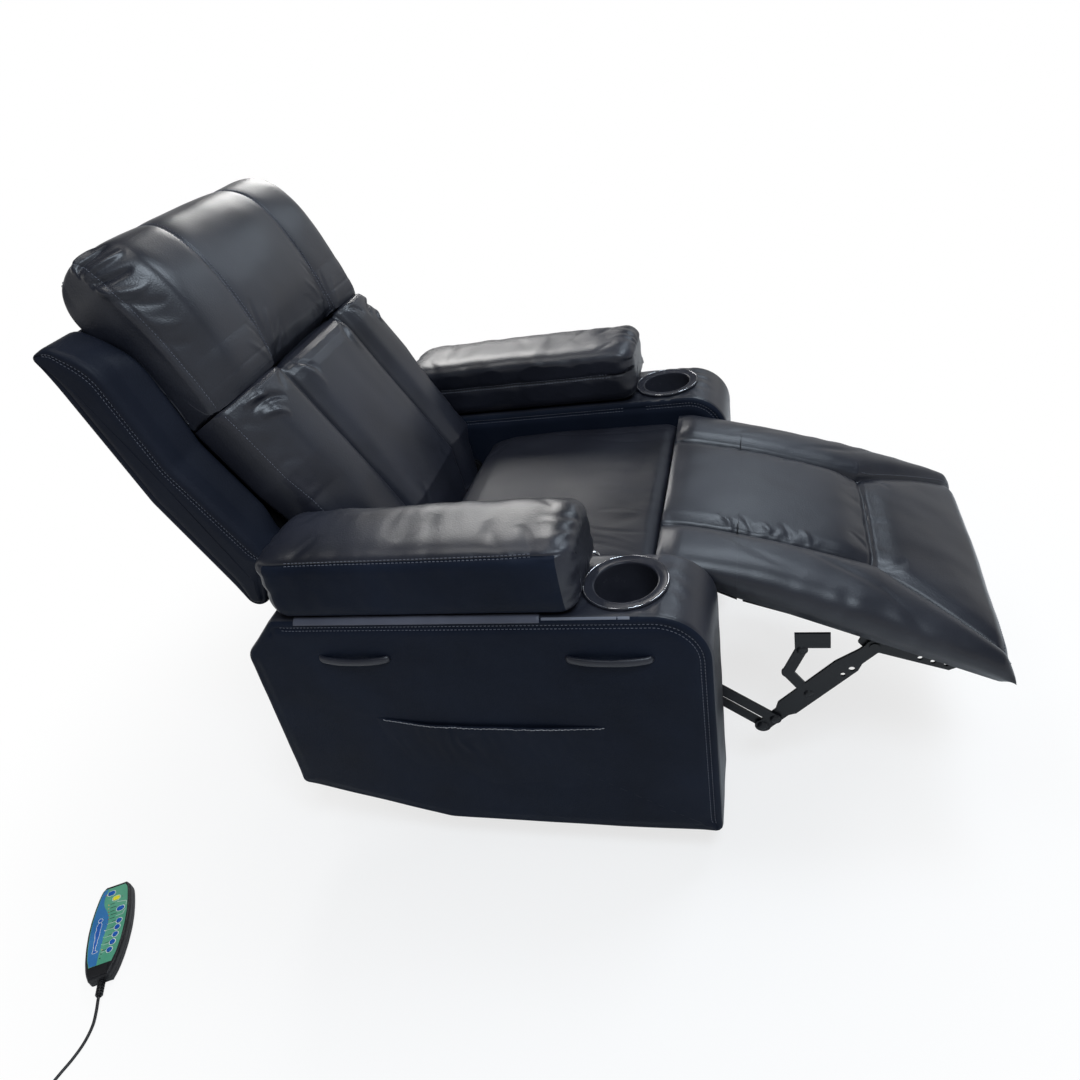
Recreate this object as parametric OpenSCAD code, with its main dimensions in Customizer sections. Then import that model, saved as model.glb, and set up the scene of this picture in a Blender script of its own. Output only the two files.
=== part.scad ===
// Upholstered massage recliner on a swivel rocker base, with a corded handset.
// Millimetres. The origin is on the floor under the swivel, +Z is up, the chair
// faces -Y and the sitter's right arm is on -X. Rest pose: level, leg rest out,
// back laid down.

/* [Chair] */

// Overall width over both arm boxes
overall_width = 820; // [780:10:860]
// Width of one arm box
arm_width = 153.5; // [145:0.5:165]
// Height of the arm box top
arm_top = 532; // [520:1:545]
// Front face of the arm boxes, forward of the swivel
arm_front = 374; // [350:0.5:380]
// Radius of the front top edge of an arm box
arm_front_radius = 80; // [60:5:90]
// Thickness of the padded arm cover
cover_wall = 12; // [8:1:14]

/* [Cup holders] */

// Distance of each cup centre from the arm box's inner face
cup_inset = 76.5; // [72:0.5:82]
// Distance of each cup centre in front of the swivel
cup_forward = 254; // [245:1:265]
// Radius of the cup bore
cup_bore_radius = 45.5; // [40:0.5:48]
// Radius of the cup flange
cup_flange_radius = 63.5; // [58:0.5:68]
// Depth of the cup bore below the arm top
cup_depth = 76; // [60:1:80]

/* [Upholstery] */

// Gap between the seat cushion and an arm box
seat_side_gap = 8.5; // [8:0.5:12]
// Height of the middle of the seat
seat_top = 505; // [495:1:515]
// Gap between the head roll and a wing of the back
head_side_gap = 1; // [1:0.5:6]
// Distance of the back's long seams from the middle plane
back_seam_x = 116; // [100:1:130]
// Distance of the leg rest's long seams from the middle plane
leg_seam_x = 137; // [120:1:150]
// Half width of the leg rest at its tip
leg_tip_half_width = 277; // [260:1:285]
// Length of the hinged main leg rest pad
leg_pad_length = 410; // [390:5:430]
// Thickness of a soft arm pad
arm_pad_thickness = 126; // [100:1:130]

/* [Back] */

// Height of the back's hinge
hinge_z = 420; // [410:1:430]
// Distance of the back's hinge behind the swivel
hinge_y = 170; // [160:1:180]
// Lean of the back from upright in the rest pose, degrees
back_lean = 27; // [25:1:29]

/* [Base] */

// Mean radius of the floor ring
ring_radius = 270; // [240:5:290]
// Height of the rocker shaft
rock_axis_z = 110; // [105:1:120]

/* [Handset] */

// Length of the handset body
handset_length = 188; // [170:1:200]
// Thickness of the handset body
handset_thickness = 24; // [20:1:28]
// Diameter of the handset cord
cord_diameter = 5; // [4:0.5:6]

/* [Hidden] */

$fn = 48;

// Colours: black leather, black steel, bright steel, wood, black and clear plastics
leather = [0.05, 0.05, 0.06];
black_steel = [0.12, 0.12, 0.13];
bright_steel = [0.75, 0.76, 0.78];
board_wood = [0.72, 0.58, 0.4];
black_plastic = [0.08, 0.08, 0.09];
gap = 0.5;
pin_clearance = 0.05;
pin_radius = 5;

// Arm boxes
arm_outer = overall_width / 2;
arm_inner = arm_outer - arm_width;
cup_x = arm_inner + cup_inset;
seat_half_width = arm_inner - seat_side_gap;
rear_top = [297, arm_top];
rear_shoulder = [336, 491];
rear_corner = [365, 463];
rear_waist = [376, 313];
rear_foot = [388, 148];
rear_rise = [246, 107];
belly_rear = [115, 69];
belly_front = [-189, 68];
front_foot = [-360, 73];
arm_board = 12;
arm_board_profile = [
    [-335, 92], [-150, 86], [100, 86], [230, 124], [355, 168], [342, 445], [300, 490],
    [270, 505], [-190, 505], [-190, 440], [-335, 420]
];
// (y, z, size) of the boards across the arm box at its front, rear and top
front_board = [-338, 92, 330];
rear_board = [342, 168, 180];
top_board = [-185, 505, 455];

// Arm pads
arm_pad_rear = 299;
arm_pad_front = -203;
arm_pad_half_width = arm_width / 2 + 2.75;
arm_pad_low = arm_top + 0.4;
pad_stations = [-1, -0.985, -0.94, -0.86, -0.7, -0.45, -0.15, 0.15, 0.45, 0.7, 0.86, 0.94, 0.985, 1];

// Cup holders
cup_wall = 1.5;
flange_thickness = 4;

// Side pockets and loops
pocket_y = [-213, 181];
pocket_z = [118, 322];
pocket_gap = 7;
pocket_cloth = 2.5;
pocket_rim = 9;
loop_half = 6;
loop_z = 460;
loop_spans = [[112, 228], [-291, -170]];
loop_gap = 3;
loop_out = 15;

// Base and turntable
glide_height = 6;
ring_width = 30;
ring_height = 20;
bar_width = 40;
hub_radius = 30;
hub_top = 34;
spindle_radius = 12;
glide_radius = 14;
hub_glide_radius = 20;
plate_z = 38;
plate_thickness = 4;
plate_half = 120;
ear_x = 117;
ear_thickness = 6;
rock_shaft_radius = 10;
spring_place = [62, 75];
spring_coil_radius = 16;
spring_wire_radius = 3.2;
spring_curls = 5;
spring_low = plate_z + plate_thickness + spring_wire_radius + 0.3;
spring_high = 117.5 - spring_wire_radius;
rings_a_curl = 8;
wire_sides = 6;

// Chassis
tube_low = 118;
tube_size = 25;
tube_y = 75;
boss_inner = 126;
boss_outer = 150;
rail_z = [170, 206];
rail_y = [-205, 218];
rail_lip = 6;
rail_depth = 10;

// Seat
frame_low = 335;
frame_top = 372;
frame_board = 18;
frame_front = -245;
frame_rear = 165;
cushion_low = 374.3;
seat_front = -280;
seat_rear = 119;
plate_outer = arm_inner - 12.5;
plate_layer = plate_outer - 4;
plate_profile = [
    [-312, 262], [-312, 296], [-252, frame_top], [184, frame_top], [184, 330],
    [130, 165], [-150, 165], [-240, 250]
];
plate_windows = [[-100, 250], [20, 250]];
window_radius = 22;
runner_z = [176.5, 199.5];

// Footrest linkage: pivots in the middle plane's (y, z), layers by distance in x
link_thickness = 4;
layer_a = plate_layer - link_thickness - gap;
layer_b = layer_a - link_thickness - gap;
layer_g = layer_b - link_thickness - gap;
eye_share = 1.12;
pivot_a = [-290, 282];
pivot_b = [-446, 158];
pivot_a2 = [-258, 272];
pivot_b2 = [-425, 136];
pivot_m = [-501.5, 215.6];
pivot_c = [-600, 318];
arm_bend = [-470, 262];
arm_elbow = [-492, 312];
rear_link_half = 9.5;
guide_link_half = 8;
long_link_half = 12;
tab_arm_half = 9;
tab_y = [-536, -482];
tab_z = [316, 346];

// Leg rest, in a frame that starts at the cut and runs along the slope
leg_slope = 21.6;
leg_cut = [-416, 452];
flap_length = 143;
flap_pivot = [-290, 474];
leg_span = flap_length + leg_pad_length;
leg_crown = 28;
board_top = -33.5;
board_low = -45.5;
cut_lean = 0.335;
cut_reach = 60;
leg_board_half = layer_g - 0.1;
leg_board_rear = 8;
leg_board_front = leg_pad_length - 20;
flap_board_profile = [[128, -18.2], [5, -33.6], [1, board_low], [128, -29]];
flap_board_notch = 95;
flap_tab_profile = [[128, -20], [100, -23], [100, -32], [128, -29]];
bracket_profile = [[-196, -34], [-352, -34], [-352, -52], [-340, -66], [-212, -70], [-196, -60]];
bracket_slots = [[-292, -58], [-312, -58], [-332, -56]];
pivot_c_local = [220.4, -56.9];

// Back, in a frame on the hinge that runs up along the lean
back_bottom = 6;
crease = 430;
back_rear = -36;
back_frame_layer = plate_layer - 8;
wing_inner = arm_inner + 6.5;
wing_outer = wing_inner + 77;
head_half_width = wing_inner - head_side_gap;
back_top_line = [[back_bottom, 36], [100, 78], [390, 80], [412, 72], [424, 62], [crease, 50]];
back_width_line = [
    [0, seat_half_width - 19], [72, seat_half_width - 19], [96, seat_half_width - 1],
    [310, seat_half_width], [400, head_half_width], [crease, head_half_width]
];
rear_skin_profile = [[217, -134], [396, -129], [649.5, -76], [646, -64], [396, -117], [217, -122]];
rear_skirt_profile = [[-40, -143], [217, -134], [217, -122], [-40, -131]];
bevel_start = head_half_width - 46;
bevel_width = 46;
bevel_share = 0.4;
rail_places = [40, 210, 390, 560];
rail_size = [14, 40];
rail_front = 46;
wing_profile = [[217, -41], [136, -143], [396, -129], [649.5, -76], [647, -45], [588, -6], [416, -43]];
stile_profile = [[30, -40], [600, -40], [600, -73.4], [396, -116.7], [217, -121.7], [30, -128.2]];
head_profile = [
    [431, back_rear], [431, 40], [438, 58], [460, 76], [500, 90], [560, 98], [610, 100],
    [650, 96], [680, 84], [702, 62], [713, 32], [715, 5], [710, -20], [698, -40],
    [680, -52], [655, -58], [608, -58], [603, back_rear]
];
head_centre = [575, 20];

// Handset on the floor beside the chair
handset_centre = [-650, 720];
handset_turn = -62.6;
handset_wall = 2;
handset_split = 13;
board_z = 9;
board_thickness = 1.6;
lamp_z = board_z + board_thickness;
key_z = 12;
key_stand = 1.6;
face_recess = 0.6;
outline_half = [
    [-94, 17], [-90, 20.5], [-75, 26], [-55, 30.5], [-30, 34], [0, 36], [25, 35.5], [50, 33],
    [72, 29.5], [86, 26], [92, 22], [94, 16]
];
face_half = [
    [-71, 19.5], [-55, 25], [-30, 28.8], [0, 30.8], [25, 30.4], [50, 28], [72, 24.6], [84, 21.6], [87, 17]
];
oval_places = [[-5.3, 74.5], [6.1, 60], [18, 33.8]];
round_places = [[19.8, 7.6], [18.7, -5.2], [17.5, -19.2], [15.2, -33.5], [12.2, -47.5]];
oval_half = [6.5, 4.3];
round_radius = 4.6;
lamp_radius = 1.1;
lamp_places = [
    [-15.2, 73.9], [-6.4, 62.4], [17.6, 60.2], [-6.2, 49.4], [-5, 41.5], [-3.6, 33.6], [-2, 26],
    [-1, 18], [-3, 8], [-3.4, -4.6], [-3.5, -18.3], [-4.2, -32.1], [-1.2, -43], [-1.6, -51], [-2, -59]
];

// Handset cord: round numbers chosen by hand, then the coil that lies beyond it
relief_height = 8;
relief_length = 26;
relief_depth = 6;
cord_route = [
    [-780, 653, 6], [-800, 646, 3.5], [-825, 643, 3], [-850, 646, 3], [-875, 653, 3],
    [-900, 658, 3], [-925, 659, 3], [-945, 655, 3], [-965, 651, 3], [-975, 651, 3], [-985, 651, 3]
];
coil_centre = [-990, 690];
coil_outer = 39;
coil_loops = 6;
coil_low = 3;
coil_pitch = 5.6;
coil_tail = 47;
plug_neck = [4, 8];
plug_body = [7.5, 26];
plug_shell = [6.5, 9];

// ---- helpers ----

// Extrudes a (y, z) outline between two distances along x
module along_x(x0, x1) {
    translate([x0, 0, 0]) rotate([90, 0, 90]) linear_extrude(x1 - x0) children();
}

module both_sides() {
    children();
    mirror([1, 0, 0]) children();
}

// Bar between two points, with a round eye a little wider than the bar at each end
module bar_outline(p, q, r) {
    translate(p) circle(eye_share * r);
    translate(q) circle(eye_share * r);
    translate(p) rotate(atan2(q[1] - p[1], q[0] - p[0])) translate([0, -r]) square([norm(q - p), 2 * r]);
}

// Pin along x at a (y, z) point
module pin_x(p, r, x0, x1) {
    translate([x0, p[0], p[1]]) rotate([0, 90, 0]) cylinder(r = r, h = x1 - x0);
}

// Frame on the back's hinge: x across, -y out of the front, z up along the lean
module on_back() {
    translate([0, hinge_y, hinge_z]) rotate([-back_lean, 0, 0]) children();
}

// Frame on the leg rest's cut: -y forward along the slope, z out of the top
module on_leg() {
    translate([0, leg_cut[0], leg_cut[1]]) rotate([leg_slope, 0, 0]) children();
}

function middle(ring) = (ring[0] + ring[floor(len(ring) / 2)]) / 2;
function ring_sides(i, n) = [
    for (j = [0 : n - 1]) each [
        [i * n + j, (i + 1) * n + j, i * n + (j + 1) % n],
        [i * n + (j + 1) % n, (i + 1) * n + j, (i + 1) * n + (j + 1) % n]
    ]
];

// Closed skin through rings of equal count; turned says which way round the rings run
module loft(rings, turned = false) {
    n = len(rings[0]);
    m = len(rings);
    points = [for (ring = rings) each ring, middle(rings[0]), middle(rings[m - 1])];
    faces = [
        for (i = [0 : m - 2]) each ring_sides(i, n),
        for (j = [0 : n - 1]) [m * n, j, (j + 1) % n],
        for (j = [0 : n - 1]) [m * n + 1, (m - 1) * n + (j + 1) % n, (m - 1) * n + j]
    ];
    ordered = turned ? [for (f = faces) [f[0], f[2], f[1]]] : faces;
    polyhedron(points, ordered);
}

// Even blend of a list of [place, value] pairs
function between(table, at, i = 0) =
    at <= table[i][0] ? table[i][1]
    : i == len(table) - 2 || at <= table[i + 1][0]
        ? table[i][1] + (table[i + 1][1] - table[i][1])
            * min(1, (at - table[i][0]) / (table[i + 1][0] - table[i][0]))
    : between(table, at, i + 1);

function groove(offset, width) = exp(-pow(offset / width, 2));
function signed_power(v, p) = sign(v) * pow(abs(v), p);

// Tube of round wire through a list of points, with a frame that keeps one side up
function unit(v) = v / norm(v);
function heading(path, i) = unit(path[min(i + 1, len(path) - 1)] - path[max(i - 1, 0)]);
function side_of(dir) = abs(dir[2]) > 0.9 ? [1, 0, 0] : unit(cross(dir, [0, 0, 1]));
function tube_ring(centre, dir, r, sides) = [
    for (k = [0 : sides - 1])
        centre + r * cos(360 * k / sides) * side_of(dir)
            + r * sin(360 * k / sides) * unit(cross(side_of(dir), dir))
];
module tube(path, r, sides) {
    loft([for (i = [0 : len(path) - 1]) tube_ring(path[i], heading(path, i), r, sides)], true);
}

// ---- arm boxes ----

module arm_outline(inset) {
    polygon([
        rear_top - [inset * 0.4, inset], rear_shoulder - [inset, inset * 0.6],
        rear_corner - [inset, inset * 0.4], rear_waist - [inset, 0],
        rear_foot - [inset * 1.1, -inset * 0.7], rear_rise - [inset * 0.3, -inset],
        belly_rear - [inset * 0.2, -inset], belly_front + [0, inset],
        front_foot + [inset, inset], [-arm_front + inset, arm_top - arm_front_radius],
        [-arm_front + arm_front_radius, arm_top - inset]
    ]);
    translate([-arm_front + arm_front_radius, arm_top - arm_front_radius])
        circle(arm_front_radius - inset);
}

module arm_cover() {
    difference() {
        along_x(-arm_outer, -arm_inner) arm_outline(0);
        along_x(-arm_outer + cover_wall, -arm_inner - cover_wall) arm_outline(cover_wall);
        translate([-cup_x, -cup_forward, arm_top - 2 * cover_wall])
            cylinder(r = cup_bore_radius + cup_wall + 0.2, h = 3 * cover_wall);
    }
}
module right_arm_cover() {
    color(leather) arm_cover();
}
module left_arm_cover() {
    color(leather) mirror([1, 0, 0]) arm_cover();
}

module arm_frame() {
    inner = -arm_inner - cover_wall;
    outer = -arm_outer + cover_wall;
    across = arm_width - 2 * cover_wall;
    along_x(inner - arm_board, inner) polygon(arm_board_profile);
    for (board = [front_board, rear_board])
        translate([outer, board[0], board[1]]) cube([across - arm_board, arm_board, board[2]]);
    translate([outer, top_board[0], top_board[1]]) cube([across, top_board[2], arm_board]);
}
module arm_frames() {
    color(board_wood) both_sides() arm_frame();
}

function arm_pad_ring(s) =
    let (full = pow(1 - pow(abs(s), 5), 0.42),
         half_w = arm_pad_half_width * max(0.5, pow(full, 0.45)),
         half_t = arm_pad_thickness / 2 * max(0.34, full),
         y = (arm_pad_rear + arm_pad_front) / 2 + s * (arm_pad_rear - arm_pad_front) / 2)
    [for (k = [0 : 23])
        [-cup_x + half_w * signed_power(cos(15 * k), 0.5), y,
         arm_pad_low + arm_pad_thickness / 2 + half_t * signed_power(sin(15 * k), 0.62)]];

module right_arm_pad() {
    color(leather) loft([for (s = pad_stations) arm_pad_ring(s)]);
}
module left_arm_pad() {
    color(leather) mirror([1, 0, 0]) loft([for (s = pad_stations) arm_pad_ring(s)]);
}

module cup_holder() {
    translate([-cup_x, -cup_forward, arm_top - cup_depth - cup_wall]) difference() {
        union() {
            cylinder(r = cup_bore_radius + cup_wall, h = cup_depth + cup_wall);
            translate([0, 0, cup_depth + cup_wall]) cylinder(r = cup_flange_radius, h = flange_thickness);
        }
        translate([0, 0, cup_wall]) cylinder(r = cup_bore_radius, h = cup_depth + 2 * flange_thickness);
    }
}
module right_cup_holder() {
    color(black_plastic) cup_holder();
}
module left_cup_holder() {
    color(black_plastic) mirror([1, 0, 0]) cup_holder();
}

module pocket() {
    depth = pocket_gap + pocket_cloth;
    difference() {
        translate([-arm_outer - depth, pocket_y[0], pocket_z[0]])
            cube([depth, pocket_y[1] - pocket_y[0], pocket_z[1] - pocket_z[0]]);
        translate([-arm_outer - pocket_gap, pocket_y[0] + pocket_rim, pocket_z[0] + pocket_rim])
            cube([2 * pocket_gap, pocket_y[1] - pocket_y[0] - 2 * pocket_rim, pocket_z[1] - pocket_z[0]]);
    }
}
module right_pocket() {
    color(leather) pocket();
}
module left_pocket() {
    color(leather) mirror([1, 0, 0]) pocket();
}

module side_loops() {
    color(leather) both_sides() for (span = loop_spans)
        translate([arm_outer, 0, loop_z - loop_half]) linear_extrude(2 * loop_half) polygon([
            [0, span[0]], [loop_gap + 6, span[0]], [loop_out, span[0] + 9], [loop_out, span[1] - 9],
            [loop_gap + 6, span[1]], [0, span[1]], [0, span[1] - 12], [loop_gap, span[1] - 18],
            [loop_gap, span[0] + 18], [0, span[0] + 12]
        ]);
}

// ---- base and turntable ----

module base_ring() {
    color(black_steel) translate([0, 0, glide_height]) difference() {
        union() {
            difference() {
                cylinder(r = ring_radius + ring_width / 2, h = ring_height);
                translate([0, 0, -1]) cylinder(r = ring_radius - ring_width / 2, h = ring_height + 2);
            }
            for (turn = [0, 90]) rotate(turn)
                translate([-ring_radius, -bar_width / 2, 0]) cube([2 * ring_radius, bar_width, ring_height]);
            cylinder(r = hub_radius, h = hub_top - glide_height);
        }
        translate([0, 0, -1]) cylinder(r = spindle_radius + pin_clearance, h = hub_top);
    }
}

module floor_glides() {
    color(black_plastic) {
        for (turn = [30 : 60 : 330])
            rotate(turn) translate([ring_radius, 0, 0]) cylinder(r = glide_radius, h = glide_height);
        cylinder(r = hub_glide_radius, h = glide_height);
    }
}

module swivel_plate() {
    color(black_steel) {
        translate([-plate_half, -plate_half, plate_z])
            cube([2 * plate_half, 2 * plate_half, plate_thickness]);
        translate([0, 0, hub_top + 0.1]) cylinder(r = 26, h = plate_z - hub_top - 0.1);
        translate([0, 0, glide_height + 2]) cylinder(r = spindle_radius, h = plate_z - glide_height - 2);
    }
}

module rocker_cradle() {
    top = plate_z + plate_thickness;
    color(black_steel) both_sides() difference() {
        along_x(ear_x, ear_x + ear_thickness) {
            polygon([[-70, top], [70, top], [16, rock_axis_z + 10], [-16, rock_axis_z + 10]]);
            translate([0, rock_axis_z]) circle(20);
        }
        pin_x([0, rock_axis_z], rock_shaft_radius + pin_clearance, ear_x - 1, ear_x + ear_thickness);
    }
}

module rocker_shaft() {
    collar = boss_outer + gap;
    color(bright_steel) {
        pin_x([0, rock_axis_z], rock_shaft_radius, -collar - 4, collar + 4);
        both_sides() pin_x([0, rock_axis_z], 14, collar, collar + 4);
    }
}

// Upright spring with straight ends one wire thick, wound by formula
function spring_path(place) =
    let (steps = spring_curls * rings_a_curl,
         start = place + [spring_coil_radius, 0])
    [
        [start[0], start[1] - 2 * spring_wire_radius, spring_low],
        for (i = [0 : steps])
            [place[0] + spring_coil_radius * cos(360 * i / rings_a_curl),
             place[1] + spring_coil_radius * sin(360 * i / rings_a_curl),
             spring_low + (spring_high - spring_low) * i / steps],
        [start[0], start[1] + 2 * spring_wire_radius, spring_high]
    ];
spring_gap = (spring_high - spring_low) / spring_curls - 2 * spring_wire_radius;
echo(spring_gap = spring_gap);
module rocker_springs(y) {
    color(bright_steel) for (x = [-spring_place[0], spring_place[0]])
        tube(spring_path([x, y]), spring_wire_radius, wire_sides);
}
module front_rocker_springs() {
    rocker_springs(-spring_place[1]);
}
module rear_rocker_springs() {
    rocker_springs(spring_place[1]);
}

// ---- chassis ----

module chassis_frame() {
    color(black_steel) difference() {
        union() {
            for (y = [-tube_y, tube_y])
                translate([-arm_inner, y - tube_size / 2, tube_low])
                    cube([2 * arm_inner, tube_size, tube_size]);
            both_sides() {
                pin_x([0, rock_axis_z], 18, boss_inner, boss_outer);
                along_x(boss_outer - 8, boss_outer) polygon([
                    [-tube_y - 10, tube_low + 2], [-18, rock_axis_z - 6], [18, rock_axis_z - 6],
                    [tube_y + 10, tube_low + 2], [tube_y + 10, tube_low + tube_size],
                    [-tube_y - 10, tube_low + tube_size]
                ]);
                translate([arm_inner - 4, -110, tube_low - 6]) cube([4, 220, 44]);
            }
        }
        both_sides()
            pin_x([0, rock_axis_z], rock_shaft_radius + pin_clearance, boss_inner - 1, boss_outer + 1);
    }
}

module glide_rails() {
    color(bright_steel) both_sides() difference() {
        translate([arm_inner - rail_depth, rail_y[0], rail_z[0]])
            cube([rail_depth, rail_y[1] - rail_y[0], rail_z[1] - rail_z[0]]);
        translate([arm_inner - rail_depth - 1, rail_y[0] - 1, rail_z[0] + rail_lip])
            cube([rail_depth - 2, rail_y[1] - rail_y[0] + 2, rail_z[1] - rail_z[0] - 2 * rail_lip]);
    }
}

module release_strap() {
    color(black_plastic) translate([-arm_inner + 0.3, -200, 400]) cube([3, 20, 105.7]);
}

module release_ring() {
    color(bright_steel) translate([-arm_inner + 3.3, -190, 520]) rotate([0, 90, 0])
        rotate_extrude() translate([11.5, 0]) circle(r = 2.5);
}

// ---- seat ----

module seat_frame() {
    height = frame_top - frame_low;
    length = frame_rear - frame_front;
    color(board_wood) {
        both_sides() translate([plate_layer - frame_board, frame_front, frame_low])
            cube([frame_board, length, height]);
        for (y = [frame_front, 60, frame_rear - frame_board])
            translate([-plate_layer + frame_board, y, frame_low])
                cube([2 * (plate_layer - frame_board), frame_board, height]);
    }
}

module seat_webbing() {
    color(black_plastic) {
        for (x = [-150, -50, 50, 150])
            translate([x - 25, frame_front, frame_top]) cube([50, frame_rear - frame_front, 2]);
    }
}

seat_low_line = [[seat_front, 474], [-255, cushion_low]];
seat_high_line = [
    [seat_front, 489], [-277, 495], [-270, 500], [-255, 504], [-200, seat_top], [60, seat_top],
    [90, 500], [106, 488], [115, 468], [seat_rear, 430]
];
function seat_low(y) = between(seat_low_line, y);
function seat_high(y) = between(seat_high_line, y);
seat_stations = [seat_front, -277, -270, -255, -230, -180, -110, -40, 20, 60, 90, 106, 115, seat_rear];
seat_q = [-1, -0.985, -0.94, -0.85, -0.65, -0.35, 0, 0.35, 0.65, 0.85, 0.94, 0.985, 1];
function seat_ring(y) =
    let (low = seat_low(y), high = seat_high(y), edge = low + (high - low) * 0.55)
    [
        for (q = seat_q)
            [q * seat_half_width, y, edge + (high - edge) * pow(1 - pow(abs(q), 6), 0.42)],
        [seat_half_width, y, low + (edge - low) * 0.3],
        [seat_half_width - 6, y, low],
        [-seat_half_width + 6, y, low],
        [-seat_half_width, y, low + (edge - low) * 0.3]
    ];
module seat_cushion() {
    color(leather) loft([for (y = seat_stations) seat_ring(y)], true);
}

module seat_motor() {
    color(black_plastic) translate([0, -60, frame_top - 28]) cylinder(r = 26, h = 28);
}

module control_box() {
    color(black_plastic) difference() {
        translate([-60, 10, frame_low - 40]) cube([120, 68, 40]);
        translate([-30, 79, frame_low - 28]) rotate([90, 0, 0]) cylinder(r = 6.6, h = 11);
        translate([30, 79, frame_low - 28]) rotate([90, 0, 0]) cylinder(r = 2.8, h = 11);
    }
}

module mechanism_plates() {
    color(black_steel) both_sides() {
        difference() {
            along_x(plate_layer, plate_outer) polygon(plate_profile);
            along_x(plate_layer - 1, plate_outer + 1)
                for (place = plate_windows) translate(place) circle(window_radius);
        }
        translate([plate_outer, -150, runner_z[0]])
            cube([arm_inner - 3.5 - plate_outer, 290, runner_z[1] - runner_z[0]]);
        pin_x(pivot_a, pin_radius, layer_b + 2.5, plate_layer);
        pin_x(pivot_a, 8, layer_b + 1.5, layer_b + 3.5);
        pin_x(pivot_a2, pin_radius, layer_g - 1, plate_layer);
        pin_x(pivot_a2, 8, layer_g + link_thickness + gap, plate_layer);
        translate([plate_outer, -250, frame_low]) cube([5.5, 30, frame_top - frame_low]);
        along_x(plate_outer + 5.5, plate_outer + 8.5) {
            bar_outline(flap_pivot, [-245, frame_low + 18], 7);
            translate([-250, frame_low]) square([30, frame_top - frame_low]);
        }
        pin_x(flap_pivot, 4, plate_outer, plate_outer + 5.5);
    }
}

module hinge_brackets() {
    color(black_steel) both_sides() {
        along_x(plate_layer, plate_outer) {
            polygon([[150, frame_top], [184, frame_top], [186, hinge_z], [154, hinge_z]]);
            translate([hinge_y, hinge_z]) circle(16);
        }
        pin_x([hinge_y, hinge_z], 6, back_frame_layer - 2, plate_layer);
    }
}

// ---- back ----

module back_frame() {
    color(board_wood) on_back() {
        both_sides() {
            along_x(back_frame_layer - 20, back_frame_layer) back_outline(stile_profile);
            difference() {
                translate([back_frame_layer, 0, 0]) union() {
                    rotate([0, 90, 0]) cylinder(r = 16, h = 5);
                    translate([0, 0, -14]) cube([5, 60, 84]);
                }
                translate([back_frame_layer - 1, 0, 0]) rotate([0, 90, 0])
                    cylinder(r = 6 + pin_clearance, h = 7);
            }
        }
        for (t = rail_places) translate([-back_frame_layer + 20, rail_front, t])
            cube([2 * back_frame_layer - 40, rail_size[0], rail_size[1]]);
    }
}

// The cushion and head roll slope back towards their sides, from a seam to a thin edge
function bevel(x) =
    let (u = (abs(x) - bevel_start) / bevel_width)
    1 - bevel_share * (u + sqrt(u * u + 0.06)) / 2;
function beveled(n, x) = back_rear + (n - back_rear) * bevel(x);
function back_top(t) = between(back_top_line, t);
function back_width(t) = between(back_width_line, t);
back_stations = [back_bottom, 40, 72, 96, 130, 180, 260, 310, 350, 390, 412, 424, crease];
back_q = [
    -1, -0.985, -0.93, -0.8, -0.66, -0.52, -0.47, -0.42, -0.3, -0.1,
    0.1, 0.3, 0.42, 0.47, 0.52, 0.66, 0.8, 0.93, 0.985, 1
];
function back_ring(t) =
    let (w = back_width(t), high = back_top(t), edge = min(22, high - 12))
    [
        for (q = back_q)
            let (n = edge + (high - edge) * pow(1 - pow(abs(q), 14), 0.42)
                - 20 * groove(abs(q) * w - back_seam_x, 10))
            [q * w, -min(n, beveled(n, q * w)), t],
        [w, -back_rear - 8, t],
        [w - 8, -back_rear, t],
        [-w + 8, -back_rear, t],
        [-w, -back_rear - 8, t]
    ];
module back_cushion() {
    color(leather) on_back() loft([for (t = back_stations) back_ring(t)], true);
}

head_q = [
    -1, -0.99, -0.96, -0.9, -0.8, -0.6, -0.48, -0.443, -0.4, -0.25, 0,
    0.25, 0.4, 0.443, 0.48, 0.6, 0.8, 0.9, 0.96, 0.99, 1
];
function head_ring(q) =
    let (full = max(0.7, pow(1 - pow(abs(q), 9), 0.16))
            - 0.05 * groove(abs(q) * head_half_width - back_seam_x, 9))
    [for (p = head_profile)
        [q * head_half_width,
         -beveled(head_centre[1] + (p[1] - head_centre[1]) * full, q * head_half_width),
         head_centre[0] + (p[0] - head_centre[0]) * full]];
module head_roll() {
    color(leather) on_back() loft([for (q = head_q) head_ring(q)], true);
}

module back_outline(points) {
    polygon([for (p = points) [-p[1], p[0]]]);
}
module back_shell() {
    color(leather) on_back() {
        both_sides() along_x(wing_inner, wing_outer) back_outline(wing_profile);
        along_x(-wing_inner, wing_inner) back_outline(rear_skin_profile);
        along_x(-seat_half_width, seat_half_width) back_outline(rear_skirt_profile);
    }
}

module back_motors() {
    color(black_plastic) on_back() for (x = [-90, 90], t = [230, 410])
        translate([x, 45.5, t]) rotate([90, 0, 0]) cylinder(r = 18, h = 9);
}

// ---- leg rest linkage ----

module rear_links() {
    color(black_steel) both_sides() {
        difference() {
            along_x(layer_a, layer_a + link_thickness) bar_outline(pivot_a, pivot_b, rear_link_half);
            pin_x(pivot_a, pin_radius + pin_clearance, layer_a - 1, layer_a + link_thickness + 1);
        }
        pin_x(pivot_b, pin_radius, layer_b - 0.2, layer_a);
    }
}

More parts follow.
